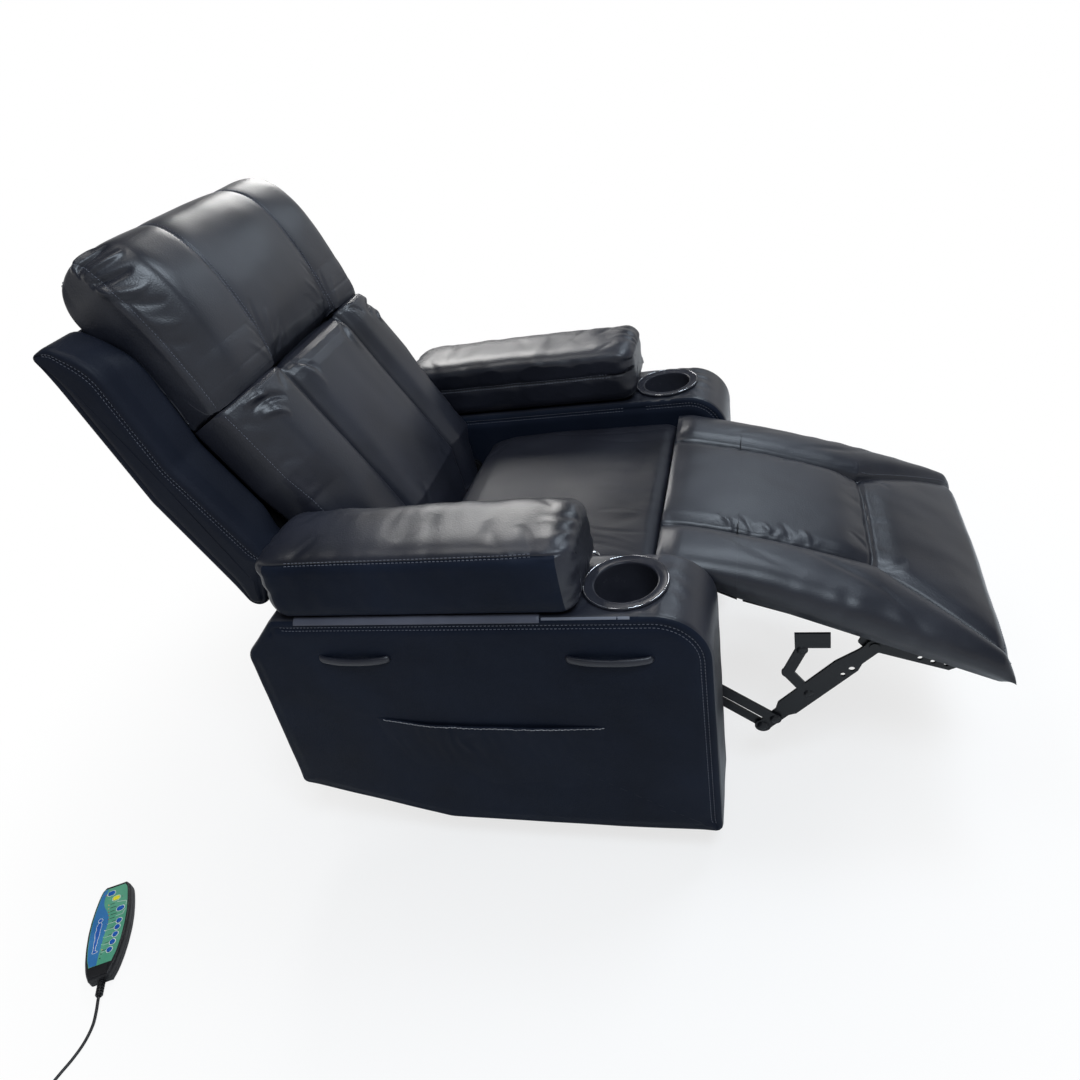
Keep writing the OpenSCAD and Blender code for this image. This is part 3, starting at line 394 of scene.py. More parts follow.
def tube_rings(path, radius, sides, flat=1.0):
    """Rings of a round or oval section carried along a path, its frame kept level."""
    path = np.asarray(path, float)
    along = np.gradient(path, axis=0)
    along /= np.linalg.norm(along, axis=1, keepdims=True)
    up = np.tile([0.0, 0.0, 1.0], (len(path), 1))
    steep = np.abs(along[:, 2]) > 0.95
    up[steep] = [1.0, 0.0, 0.0]
    side = np.cross(along, up)
    side /= np.linalg.norm(side, axis=1, keepdims=True)
    up = np.cross(side, along)
    angle = np.arange(sides) / sides * TAU
    radius = np.broadcast_to(radius, len(path))[:, None, None]
    return (
        path[:, None]
        + radius * np.cos(angle)[None, :, None] * side[:, None] * flat
        + radius * np.sin(angle)[None, :, None] * up[:, None]
    )


def sample(grid, rows, cols):
    """Values of a ring grid at fractional rows and columns, straight between neighbours."""
    n = grid.shape[1]
    rows = np.clip(rows, 0, grid.shape[0] - 1.001)
    i, j = np.floor(rows).astype(int), np.floor(cols).astype(int)
    a, b = (rows - i)[:, None], (cols - j)[:, None]
    j0, j1 = j % n, (j + 1) % n
    return (grid[i, j0] * (1 - a) + grid[i + 1, j0] * a) * (1 - b) + (grid[i, j1] * (1 - a) + grid[i + 1, j1] * a) * b


def seam_line(rings, rows, cols):
    """Line just over a skin through fractional rows and columns, and its normals."""
    rows, cols = np.broadcast_arrays(np.asarray(rows, float), np.asarray(cols, float))
    normal = sample(normals_of(rings), rows, cols)
    normal /= np.linalg.norm(normal, axis=1, keepdims=True)
    return sample(rings, rows, cols) + normal * SEAM_LIFT, normal


def stitches(name, lines, material, body, pitch, length, radius):
    """Separate thread stitches along lines: each is a short five-sided bow from one needle hole to the next.

    lines is a list of (points, normals) in the row frame, in millimetres.
    """
    points, faces, offset = [], [], 0
    rise = np.array([-0.6, 0.45, 0.45, -0.6]) * radius * 1.2
    bows, sides = len(rise), 5
    angle = np.arange(sides) / sides * TAU
    each = bows * sides
    for line, normal in lines:
        run = run_along(line)
        start = np.arange(0, run[-1] - length, pitch)
        at = start[:, None] + np.array([0, 0.3, 0.7, 1]) * length
        centre = np.stack([np.interp(at, run, line[:, k]) for k in range(3)], -1)
        up = np.stack([np.interp(at, run, normal[:, k]) for k in range(3)], -1)
        along = centre[:, -1:] - centre[:, :1]
        along = along / np.linalg.norm(along, axis=-1, keepdims=True)
        side = np.cross(up, along)
        side /= np.linalg.norm(side, axis=-1, keepdims=True)
        centre = centre + up * rise[None, :, None]
        ring = (
            centre[:, :, None]
            + radius * np.cos(angle)[None, None, :, None] * side[:, :, None]
            + radius * np.sin(angle)[None, None, :, None] * up[:, :, None]
        )
        at = np.arange(len(start)) * each + offset
        one = ring_faces(bows, sides)[:, ::-1]
        faces += (one[None] + at[:, None, None]).reshape(-1, 4).tolist()
        for cap in (np.arange(sides), np.arange(each - 1, each - 1 - sides, -1)):
            faces += (cap[None] + at[:, None]).tolist()
        points.append(ring.reshape(-1, 3))
        offset += len(start) * each
    return put(name, np.vstack(points), faces, material, body)


def film(outline, low, high, place):
    """Points and faces of a flat sheet with straight edges, from a closed (x, y) outline."""
    n = len(outline)
    points = np.vstack([np.column_stack([outline, np.full(n, z)]) for z in (low, high)])
    j = np.arange(n)
    k = (j + 1) % n
    sides = np.stack([j, k, n + k, n + j], 1)
    top, bottom = n + j, j[::-1]
    if signed_area(outline) < 0:
        sides, top, bottom = sides[:, ::-1], top[::-1], bottom[::-1]
    return place(points), sides.tolist() + [top.tolist(), bottom.tolist()]


def joined(parts):
    """Several (points, faces) as one."""
    points, faces, offset = [], [], 0
    for p, f in parts:
        points.append(p)
        faces += [[v + offset for v in face] for face in f]
        offset += len(p)
    return np.vstack(points), faces


def ribbon(path, width):
    """Outline of a flat line of that width along an open (x, y) path."""
    path = np.asarray(path, float)
    along = np.gradient(path, axis=0)
    along /= np.linalg.norm(along, axis=1, keepdims=True)
    side = np.stack([-along[:, 1], along[:, 0]], 1) * width / 2
    return np.vstack([path + side, (path - side)[::-1]])


def ring_film(outline, width, low, high, place):
    """A flat closed band of that width round an outline."""
    normal = inward(outline)
    inner = outline + normal * width / 2
    outer = outline - normal * width / 2
    n = len(outline)
    corners = (outer, low), (outer, high), (inner, high), (inner, low)
    points = np.vstack([np.column_stack([o, np.full(n, z)]) for o, z in corners])
    quads = ring_faces(4, n)
    j = np.arange(n)
    k = (j + 1) % n
    quads = np.vstack([quads, np.stack([3 * n + j, 3 * n + k, k, j], 1)])
    if signed_area(outline) < 0:
        quads = quads[:, ::-1]
    return place(points), quads.tolist()


def lathe(name, profile, centre, material, body, replaces=()):
    """Closed profile of (radius, height) points turned round an upright axis."""
    profile = np.asarray(profile, float)
    angle = np.arange(LATHE_TURNS) / LATHE_TURNS * TAU
    m = len(profile)
    points = np.stack(
        [
            centre[0] + profile[None, :, 0] * np.cos(angle)[:, None],
            centre[1] + profile[None, :, 0] * np.sin(angle)[:, None],
            np.broadcast_to(profile[None, :, 1], (LATHE_TURNS, m)),
        ],
        -1,
    )
    i, j = np.meshgrid(np.arange(LATHE_TURNS), np.arange(m), indexing="ij")
    i1, j1 = (i + 1) % LATHE_TURNS, (j + 1) % m
    quads = np.stack([i * m + j, i1 * m + j, i1 * m + j1, i * m + j1], -1).reshape(-1, 4)
    flat = points.reshape(-1, 3)
    triangles = np.vstack([quads[:, [0, 1, 2]], quads[:, [0, 2, 3]]])
    if volume(flat - flat.mean(0), triangles) < 0:
        quads = quads[:, ::-1]
    return put(name, flat, quads.tolist(), material, body, True, replaces)


def mirrored(rings):
    """The other side's rings: x turned round."""
    out = rings.copy()
    out[..., 0] *= -1
    return out


# ---- materials ----
def linear(hex_colour):
    """Scene-linear colour of a display colour written as six hex digits."""
    parts = [int(hex_colour[k : k + 2], 16) / 255 for k in (0, 2, 4)]
    return [c / 12.92 if c <= 0.04045 else ((c + 0.055) / 1.055) ** 2.4 for c in parts] + [1.0]


def new_group(name, inputs, outputs):
    """An empty shader node group with float or vector inputs and outputs."""
    group = bpy.data.node_groups.new(name, "ShaderNodeTree")
    for label, kind, value in inputs:
        socket = group.interface.new_socket(name=label, in_out="INPUT", socket_type=kind)
        if value is not None:
            socket.default_value = value
    for label, kind in outputs:
        group.interface.new_socket(name=label, in_out="OUTPUT", socket_type=kind)
    return group, group.nodes.new("NodeGroupInput"), group.nodes.new("NodeGroupOutput")


def feed(tree, node, inputs):
    """Inputs of a node, each linked from a socket or set to a value."""
    for place, value in inputs:
        if isinstance(value, bpy.types.NodeSocket):
            tree.links.new(value, node.inputs[place])
        else:
            node.inputs[place].default_value = value


def wire(tree, kind, inputs=(), **settings):
    """A new shader node with its settings and its inputs."""
    node = tree.nodes.new(kind)
    for key, value in settings.items():
        setattr(node, key, value)
    feed(tree, node, inputs)
    return node


def grain_group():
    """Leather grain: small round cells, fine pores and long soft creases, as one height and one mask."""
    group, inside, outside = new_group(
        "leather_grain",
        [("Vector", "NodeSocketVector", None), ("Cell", "NodeSocketFloat", 420.0), ("Crease", "NodeSocketFloat", 0.5)],
        [("Height", "NodeSocketFloat"), ("Mask", "NodeSocketFloat")],
    )
    vector, cell, crease = (inside.outputs[label] for label in ("Vector", "Cell", "Crease"))
    cells = wire(group, "ShaderNodeTexVoronoi", [("Vector", vector), ("Scale", cell)], feature="SMOOTH_F1")
    pores = wire(group, "ShaderNodeTexNoise", [("Vector", vector), ("Scale", 1500), ("Detail", 3)])
    creases = wire(
        group, "ShaderNodeTexNoise", [("Vector", vector), ("Scale", 34), ("Detail", 6), ("Distortion", 0.9)]
    )
    patches = wire(group, "ShaderNodeTexNoise", [("Vector", vector), ("Scale", 7), ("Detail", 4)])
    ridge = wire(group, "ShaderNodeMath", [(0, creases.outputs["Fac"]), (1, 0.5)], operation="PINGPONG")
    scaled = wire(group, "ShaderNodeMath", [(0, ridge.outputs[0]), (1, crease)], operation="MULTIPLY")
    fine = wire(
        group, "ShaderNodeMath", [(0, pores.outputs["Fac"]), (1, 0.25), (2, cells.outputs["Distance"])],
        operation="MULTIPLY_ADD",
    )
    total = wire(group, "ShaderNodeMath", [(0, fine.outputs[0]), (1, scaled.outputs[0])], operation="ADD")
    feed(group, outside, [("Height", total.outputs[0]), ("Mask", patches.outputs["Fac"])])
    return group


def speckle_group():
    """Fine speckle and broad patches for paint, plastic and rubber, as one height and one mask."""
    group, inside, outside = new_group(
        "fine_speckle",
        [("Vector", "NodeSocketVector", None), ("Scale", "NodeSocketFloat", 900.0)],
        [("Height", "NodeSocketFloat"), ("Mask", "NodeSocketFloat")],
    )
    vector, scale = inside.outputs["Vector"], inside.outputs["Scale"]
    fine = wire(group, "ShaderNodeTexNoise", [("Vector", vector), ("Scale", scale), ("Detail", 3)])
    broad = wire(group, "ShaderNodeTexNoise", [("Vector", vector), ("Scale", 22), ("Detail", 5)])
    feed(group, outside, [("Height", fine.outputs["Fac"]), ("Mask", broad.outputs["Fac"])])
    return group


GRAIN = grain_group()
SPECKLE = speckle_group()


def finish(name, group, settings, dark, light, rough, bump, stretch=(1, 1, 1), metallic=0.0, gloss=0.5, coat=0.0):
    """A material: two colours and two roughnesses mixed by the group's mask, and its height as bump."""
    material = bpy.data.materials.new(name)
    material.use_nodes = True
    tree = material.node_tree
    place = wire(tree, "ShaderNodeTexCoord")
    mapping = wire(tree, "ShaderNodeMapping", [("Vector", place.outputs["Object"]), ("Scale", stretch)])
    effect = wire(
        tree, "ShaderNodeGroup", [("Vector", mapping.outputs["Vector"]), *settings.items()], node_tree=group
    )
    mask, height = effect.outputs["Mask"], effect.outputs["Height"]
    ramp = wire(tree, "ShaderNodeValToRGB", [("Fac", mask)])
    for stop, position, colour in zip(ramp.color_ramp.elements, (0.32, 0.7), (dark, light)):
        stop.position, stop.color = position, linear(colour)
    sheen = wire(
        tree, "ShaderNodeMapRange",
        [("Value", mask), ("From Min", 0.3), ("From Max", 0.7), ("To Min", rough[0]), ("To Max", rough[1])],
    )
    relief = wire(tree, "ShaderNodeBump", [("Height", height), ("Strength", bump[0]), ("Distance", bump[1])])
    feed(tree, tree.nodes["Principled BSDF"], [
        ("Base Color", ramp.outputs["Color"]), ("Roughness", sheen.outputs["Result"]),
        ("Normal", relief.outputs["Normal"]), ("Metallic", metallic), ("Specular IOR Level", gloss),
        ("Coat Weight", coat), ("Coat Roughness", 0.2),
    ])
    return material


def leather(name, dark, light, rough, gloss=0.3):
    """Grained leather."""
    return finish(name, GRAIN, {"Cell": 420.0, "Crease": 0.9}, dark, light, rough, (0.3, 0.0005), gloss=gloss)


def speckled(name, scale, dark, light, rough, bump, **looks):
    """Paint, metal, plastic, rubber or print with a speckle of that scale."""
    return finish(name, SPECKLE, {"Scale": scale}, dark, light, rough, bump, **looks)


LEATHER = leather("black_leather", "14161e", "21232d", (0.34, 0.44), 0.52)
LEATHER_WORN = leather("black_leather_worn", "181a22", "25272f", (0.33, 0.43), 0.48)
LEATHER_SEAT = leather("black_leather_seat", "15161d", "212229", (0.42, 0.52), 0.24)
# Darker copy of the black leather with almost no gloss: painted shade on the arms' sides, the pads' outer faces, the
# pockets and the rear panel.
LEATHER_SHADED = leather("black_leather_painted_shade", "131823", "1a202d", (0.45, 0.55), 0.06)
LEATHER_WING = leather("black_leather_wing", "141822", "1c202b", (0.45, 0.55), 0.1)
LEATHER_STRIP = leather("grey_leather_strip", "484a55", "595b67", (0.45, 0.55))
# Pale grey band on the arm's rounded top edge in front of the strip: a painted highlight.
EDGE_HIGHLIGHT = leather("painted_edge_highlight", "5c5f6a", "70737d", (0.4, 0.5))
# Grey seam thread: the thread is real, and its light grey is painted highlight on the stitches.
THREAD = speckled("seam_thread_painted_highlight", 3000.0, "50535e", "686b76", (0.5, 0.6), (0.3, 0.0002))
THREAD_PALE = speckled("pale_thread", 3000.0, "a6a6ac", "c8c8cc", (0.5, 0.6), (0.3, 0.0002))
STEEL_BLACK = speckled("black_painted_steel", 1400.0, "0b0c10", "131519", (0.36, 0.48), (0.25, 0.0004), gloss=0.35)
STEEL_BRIGHT = speckled("zinc_steel", 1600.0, "8f9298", "b4b6ba", (0.24, 0.38), (0.2, 0.0003), metallic=1.0)
CHROME = speckled("polished_ring", 900.0, "c8cace", "dedfe2", (0.07, 0.14), (0.05, 0.0001), metallic=1.0)
PLYWOOD = speckled("plywood", 260.0, "a07f56", "c7a77c", (0.55, 0.7), (0.4, 0.0006), stretch=(1, 6, 6))
CUP_GLOSS = speckled("gloss_cup", 700.0, "22232a", "2c2d34", (0.2, 0.28), (0.04, 0.0001), gloss=0.14)
LINING = speckled("black_lining", 700.0, "0b0b0d", "131316", (0.8, 0.95), (0.4, 0.0004), gloss=0.15)
WEBBING = speckled("woven_web", 500.0, "1c1c1e", "2c2c2f", (0.75, 0.9), (0.6, 0.0006))
PLASTIC = speckled("matte_black_plastic", 1800.0, "131316", "1c1c20", (0.4, 0.55), (0.3, 0.0002), gloss=0.4)
RUBBER = speckled("cord_rubber", 1500.0, "101013", "18181b", (0.35, 0.5), (0.2, 0.0002))
FACE_GREEN = speckled("face_green", 600.0, "4f9c7d", "67ad8d", (0.3, 0.42), (0.1, 0.0001))
FACE_BLUE = speckled("face_blue", 600.0, "2a6aa8", "3f84bc", (0.3, 0.42), (0.1, 0.0001))
PRINT_WHITE = speckled("white_print", 600.0, "e4e8e6", "f2f4f2", (0.4, 0.5), (0.05, 0.0001))
PRINT_DARK = speckled("dark_print", 600.0, "24302e", "32403c", (0.4, 0.5), (0.05, 0.0001))
FIGURE_BLUE = speckled("figure_blue", 600.0, "1d55a8", "2a66ba", (0.35, 0.45), (0.05, 0.0001))
KEY_BLUE = speckled("key_blue", 900.0, "1250a8", "1c62bc", (0.22, 0.32), (0.1, 0.0001), coat=0.3)
KEY_YELLOW = speckled("key_yellow", 900.0, "e8de1c", "f4ec3a", (0.22, 0.32), (0.1, 0.0001), coat=0.3)
BOARD_GREEN = speckled("circuit_green", 300.0, "14502c", "1d6a3c", (0.3, 0.4), (0.2, 0.0002))


def dress(material, *names):
    """Gives carried-over solids their finish."""
    for name in names:
        data = NODES[name].data
        data.materials.clear()
        data.materials.append(material)


dress(STEEL_BLACK, "base_ring", "swivel_plate", "rocker_cradle", "chassis_frame", "mechanism_plates", "hinge_brackets")
dress(STEEL_BLACK, "rear_links", "long_links", "guide_links", "ottoman_brackets")
dress(STEEL_BRIGHT, "rocker_shaft", "front_rocker_springs", "rear_rocker_springs", "glide_rails")
dress(PLYWOOD, "arm_frames", "seat_frame")
dress(LINING, "back_frame", "ottoman_board", "flap_board")
dress(WEBBING, "seat_webbing", "release_strap")
dress(PLASTIC, "floor_glides", "seat_motor", "control_box", "back_motors", "ottoman_motor", "handset_neck_cap")
dress(CHROME, "release_ring")
dress(RUBBER, "strain_relief", "handset_plug")
dress(BOARD_GREEN, "handset_board")


# ---- camera ----
def aim_camera():
    """Camera from its place and its right, up and forward directions; 36 mm sensor, square picture."""
    right = np.array([0.2102, -0.9578, -0.1959])
    up = np.array([0.5785, -0.0397, 0.8147])
    ahead = np.array([0.7881, 0.2846, -0.5458])
    data = bpy.data.cameras.new("view")
    data.sensor_width = 36
    data.lens = 27.275
    camera = bpy.data.objects.new("view", data)
    turn = np.eye(4)
    turn[:3, 0], turn[:3, 1], turn[:3, 2] = right, up, -ahead
    turn[:3, 3] = (-1.2423, -0.4711, 1.2423)
    camera.matrix_world = Matrix(turn.tolist())
    bpy.context.scene.collection.objects.link(camera)
    bpy.context.scene.camera = camera


aim_camera()


# ---- handset cord: the same route and coil as the solids ----
RELIEF_LENGTH, RELIEF_DEPTH, RELIEF_Z = 26.0, 6.0, 8.0
CORD_ROUTE = [
    (-780, 653, 6), (-800, 646, 3.5), (-825, 643, 3), (-850, 646, 3), (-875, 653, 3), (-900, 658, 3),
    (-925, 659, 3), (-945, 655, 3), (-965, 651, 3), (-975, 651, 3), (-985, 651, 3),
]
COIL_CENTRE, COIL_OUTER, COIL_LOOPS = (-990.0, 690.0), 39.0, 6
COIL_LOW, COIL_PITCH, COIL_TAIL, COIL_STEPS = 3.0, 5.6, 47.0, 48


def relief_point(beyond):
    """Point on the strain relief's axis, that far beyond the handset's end."""
    reach = HANDSET_LENGTH / 2 + beyond
    return (
        HANDSET_CENTRE[0] + reach * math.sin(HANDSET_TURN),
        HANDSET_CENTRE[1] - reach * math.cos(HANDSET_TURN),
        RELIEF_Z,
    )


def coil_line():
    """Two layers: inward on the floor, a climb at the turn, outward on top; radius falls by a pitch a turn."""
    turns = np.arange(COIL_LOOPS * COIL_STEPS + 1) / COIL_STEPS
    half = COIL_LOOPS / 2
    inwards = np.where(turns <= half, turns, COIL_LOOPS - turns)
    r = COIL_OUTER - COIL_PITCH * inwards
    climb = np.clip(turns - half + 0.5, 0, 1)
    angle = -TAU / 4 - TAU * turns
    line = np.stack(
        [COIL_CENTRE[0] + r * np.cos(angle), COIL_CENTRE[1] + r * np.sin(angle), COIL_LOW + COIL_PITCH * climb], 1
    )
    tail = line[-1:] - np.array([[COIL_TAIL, 0, 0]])
    return np.vstack([line[:1] + [[CORD_DIAMETER, 0, 0]], line, tail])


def make_cord():
    """The whole cord as one tube from the strain relief to the plug."""
    relief = [relief_point(RELIEF_LENGTH + beyond) for beyond in (-RELIEF_DEPTH, 1, 7)]
    free = smooth_route([*relief, *CORD_ROUTE], 4)
    path = np.vstack([free, coil_line()[1:]])
    piece = skin(
        "handset_lead", tube_rings(path, CORD_DIAMETER / 2, 12), RUBBER, "base",
        replaces=("handset_cord", "handset_coil"),
    )


make_cord()


# ---- arm boxes ----
def cut_cup(piece, x):
    """Round well for the cup, cut down from the top of the arm."""
    sides = 72
    angle = np.arange(sides) / sides * TAU
    r = CUP_BORE + CUP_WALL + 0.8
    circle = np.column_stack([x + r * np.cos(angle), CUP[1] + r * np.sin(angle)])
    low, high = ARM_TOP - CUP_DEPTH - 6, ARM_TOP + 40
    rings = np.array([np.column_stack([circle, np.full(sides, z)]) for z in (low, high)])
    tool = skin("cup_cutter", rings, LEATHER, "chassis")
    cut = piece.modifiers.new("cup well", "BOOLEAN")
    cut.operation = "DIFFERENCE"
    cut.solver = "EXACT"
    cut.object = tool
    bpy.context.view_layer.update()
    graph = bpy.context.evaluated_depsgraph_get()
    mesh = bpy.data.meshes.new_from_object(piece.evaluated_get(graph))
    piece.modifiers.clear()
    old = piece.data
    piece.data = mesh
    bpy.data.meshes.remove(old)
    bpy.data.objects.remove(tool)


def arm_cover(side, sign, seed):
    """The arm outline carried across the arm's width, edges rounded, faces padded, a seam just inside each edge."""
    outline = rounded(ARM_SIDE, 420)
    rings, inset, low_row, high_row = block(outline, ARM_INNER, ARM_OUTER, ARM_EDGE)
    x, y, z = np.moveaxis(rings, -1, 0)
    rows = np.arange(len(rings))[:, None]
    on_face = ease((inset - ARM_EDGE) / 18)
    padding = 2.2 * on_face
    waves = on_face * (0.9 * noise(rings, (60, 170, 90), seed) + 0.4 * noise(rings, (40, 70, 40), seed + 1))
    front = ((z > 505) | (y < -320)) & (z > 90)
    seam = -drawn_in(inset - SEAM_INSET, (2.4, 1.6), (1.1, 6)) * front
    band = (rows > low_row) & (rows < high_row)
    top = ease((z - 470) / 50) * band
    soft = 0.6 * band * noise(rings, (70, 90, 60), seed + 3) - 1.2 * top * groove(x - ARM_INNER, 30)
    near_cup = top * groove(np.hypot(x - abs(CUP[0]), y - CUP[1]) - (CUP_FLANGE + 10.5), 12)
    wrinkled = near_cup * 0.9 * np.sin(np.arctan2(y - CUP[1], x - abs(CUP[0])) * 15 + 3 * noise(rings, 40, seed + 4))
    body = swell(rings, padding + waves + seam + soft + wrinkled)
    body[..., 0] = np.minimum(body[..., 0], ARM_OUTER + 2.5)
    body[..., 2] = np.minimum(body[..., 2], ARM_TOP + 0.8)
    body[..., 0] *= sign
    piece = skin(f"{side}_arm_box", body, LEATHER_SHADED, "chassis", replaces=(f"{side}_arm_cover",))
    # Painted shade: the sides keep the darker copy; faces on the top band and at the front take the lit leather.
    piece.data.materials.append(LEATHER)
    for face in piece.data.polygons:
        x_mid, y_mid, z_mid = (c / MM for c in face.center)
        face.material_index = int(ARM_INNER + 5 < abs(x_mid) < ARM_OUTER - 5 and (z_mid > 440 or y_mid < -330))
    lines = []
    for row in (high_row + 1.35, low_row - 1.35):
        columns = seam_columns(body[int(row)])
        at = body[int(row)][columns.astype(int) % len(outline), 1]
        strap = np.flatnonzero((at > STRAP_Y[0] - 8) & (at < STRAP_Y[1] + 8))
        runs = [columns] if row > len(body) / 2 else [columns[: strap[0]], columns[strap[-1] + 1 :]]
        lines += [seam_line(body, row + step, run) for step in (-1.0, 1.0) for run in runs]
    stitches(f"{side}_arm_box_stitches", lines, THREAD, "chassis", pitch=6, length=3.6, radius=0.5)
    cut_cup(piece, sign * -CUP[0])
    return piece


def seam_columns(row):
    """Column numbers of the run of an arm's edge from its rear top corner over the front to its foot."""
    y, z = row[:, 1], row[:, 2]
    return run_of((z > 95) & ((z > 505) | (y < -300)) & (y < 285))


def run_of(keep):
    """Column numbers where keep holds, in one unbroken run round a closed ring."""
    order = np.flatnonzero(keep)
    jump = np.flatnonzero(np.diff(order) > 1)
    if len(jump):
        order = np.concatenate([order[jump[0] + 1 :], order[: jump[0] + 1] + len(keep)])
    return order.astype(float)


def pad_rings(seed):
    """Boxy crowned pad: a rounded oblong section carried along the arm, ends rounded, seams drawn in."""
    angle = np.arange(400) / 400 * TAU
    c, s = np.cos(angle), np.sin(angle)
    across = np.where(s < 0, signed_power(c, 0.28), signed_power(c, 0.44))
    height = np.where(s < 0, signed_power(s, 0.4), signed_power(s, 0.62))
    section = even(np.column_stack([PAD_HALF * across, PAD_THICK / 2 * height]), 260)
    raw, inset, _, _ = block(section, PAD_FRONT, PAD_REAR, 34.0, steps=120, face_steps=14, seam_rows=3, spread=16)
    along, across, height = np.moveaxis(raw, -1, 0)
    rings = np.stack([across + PAD_X, along, height + PAD_LOW + PAD_THICK / 2], -1)
    y, z = rings[..., 1], rings[..., 2]
    side = np.abs(across) / PAD_HALF
    from_seam = z - np.where(across < 0, PAD_SEAM_RAW, PAD_INNER_SEAM)
    on_side = ease((side - 0.72) / 0.2)
    from_middle = y - 48
    crown = 3.0 * ease((z - 610) / 40) * np.cos(from_middle / 251 * 1.3)
    seam = -drawn_in(from_seam, (3.0, 2.0), (2.2, 9)) * on_side
    patchy = 0.5 + 0.5 * noise(rings, (90, 60, 90), seed + 6)
    pucker = 0.7 * groove(from_seam - 8, 13) * on_side * patchy * wavy(y, 3.4, rings, 30, seed + 5, 2.4)
    waves = 2.4 * noise(rings, (110, 60, 90), seed) + 1.1 * noise(rings, (70, 26, 46), seed + 1)
    ends = ease((np.abs(from_middle) - 185) / 55) * groove(inset - 6, 24)
    gathers = 1.3 * ends * np.sin(np.arctan2(height, across) * 13 + 3 * noise(rings, 40, seed + 3))
    folds_across = streaks(
        across + 0 * y, y,
        [(-75, -150, -10, -120, 7, 6, -2.2), (-70, -110, 5, -70, 9, -5, -1.6), (-72, 225, -15, 190, 8, 6, -2.0),
         (30, -165, 70, -120, 6, 4, -1.6), (20, 240, 72, 205, 7, -4, -1.6), (-40, 60, 30, 20, 12, 8, -1.2)],
    ) * ease((height + 10) / 20)
    tuck = ease((z - 545) / 20)
    body = swell(rings, crown + seam + (pucker + waves + gathers + folds_across) * tuck)
    body[..., 0] = np.clip(body[..., 0], -ARM_OUTER - 6, -ARM_INNER + 2)
    body[..., 1] = np.clip(body[..., 1], PAD_FRONT - 4, PAD_REAR + 1)
    high = np.maximum(body[..., 2] - PAD_FLAT_FROM, 0)
    body[..., 2] = np.maximum(body[..., 2] - (1 - PAD_FLATTER) * high, PAD_LOW)
    return body


def arm_pad(side, sign, seed):
    """One arm pad with its two long seams; the upright faces on its outer side take the darker copy of the leather as
    painted shade.
    """
    body = pad_rings(seed)
    seam_lines = []
    columns = np.arange(body.shape[1])
    rows = np.arange(30, len(body) - 30)
    for outer, level in ((True, PAD_SEAM), (False, PAD_INNER_SEAM)):
        here = []
        for row in rows:
            ring = body[row]
            facing = (ring[:, 0] < PAD_X) if outer else (ring[:, 0] > PAD_X)
            gap = np.where(facing, np.abs(ring[:, 2] - level), 1e6)
            here.append(columns[int(np.argmin(gap))])
        for step in (-1.6, 1.6):
            seam_lines.append(seam_line(body, rows, soften(np.array(here, float)) + step))
    middle = body[len(body) // 2]
    # Painted shade: the outer side below the seam, away from the ends, gets the darker copy.
    under = (PAD_X - middle[:, 0] > 0.7 * PAD_HALF) & (middle[:, 2] < PAD_SEAM + 1)
    along = (body[:, :, 1].mean(1) > PAD_FRONT + 18) & (body[:, :, 1].mean(1) < PAD_REAR - 18)
    shaded = np.append((along[:, None] & under[None, :]).ravel(), [False, False])
    if sign > 0:
        body = mirrored(body)
        flip = np.array([-1.0, 1, 1])
        seam_lines = [(line * flip, normal * flip) for line, normal in seam_lines]
    piece = skin(f"{side}_arm_cushion", body, LEATHER, "chassis", replaces=(f"{side}_arm_pad",))
    piece.data.materials.append(LEATHER_SHADED)
    for face in piece.data.polygons:
        face.material_index = int(shaded[list(face.vertices)].all())
    stitches(f"{side}_arm_cushion_stitches", seam_lines, THREAD, "chassis", pitch=6.2, length=3.8, radius=0.6)


def soften(values, reach=9):
    """Running mean, with the ends held."""
    padded = np.pad(values, reach, mode="edge")
    return np.convolve(padded, np.ones(2 * reach + 1) / (2 * reach + 1), mode="valid")


def cup_liner(side, sign):
    """Turned cup: well, rounded lip and flange, with a bright metal ring near the flange's edge."""
    low = ARM_TOP - CUP_DEPTH - CUP_WALL
    lip = np.linspace(0, math.pi, 9)
    outer = CUP_BORE + CUP_WALL
    profile = [(0.4, low), (outer, low), (outer, ARM_TOP), (CUP_FLANGE - 1.5, ARM_TOP)]
    profile += [(CUP_FLANGE - 1.6 + 1.6 * math.sin(a), ARM_TOP + 2 - 2 * math.cos(a)) for a in lip]
    profile += [(CUP_FLANGE - 5, ARM_TOP + 3.4), (CUP_BORE + 6, ARM_TOP + 2.6)]
    profile += [(CUP_BORE + 3 - 3 * math.sin(a / 2), ARM_TOP + 3 * math.cos(a / 2)) for a in lip]
    profile += [(CUP_BORE - 0.4, ARM_TOP - 8), (CUP_BORE - 1.2, low + 8), (CUP_BORE - 6, low + 2.2)]
    profile += [(0.4, low + CUP_WALL)]
    middle = (-sign * CUP[0], CUP[1])
    lathe(f"{side}_cup_liner", profile, middle, CUP_GLOSS, "chassis", replaces=(f"{side}_cup_holder",))
    turn = np.arange(12) / 12 * TAU
    bead = [(CUP_FLANGE - 2.2 + 0.55 * math.cos(a), ARM_TOP + 3.6 + 0.55 * math.sin(a)) for a in turn]
    lathe(f"{side}_cup_rim", bead, middle, CHROME, "chassis")


POCKET_Y, POCKET_Z = (-213.0, 181.0), (118.0, 322.0)


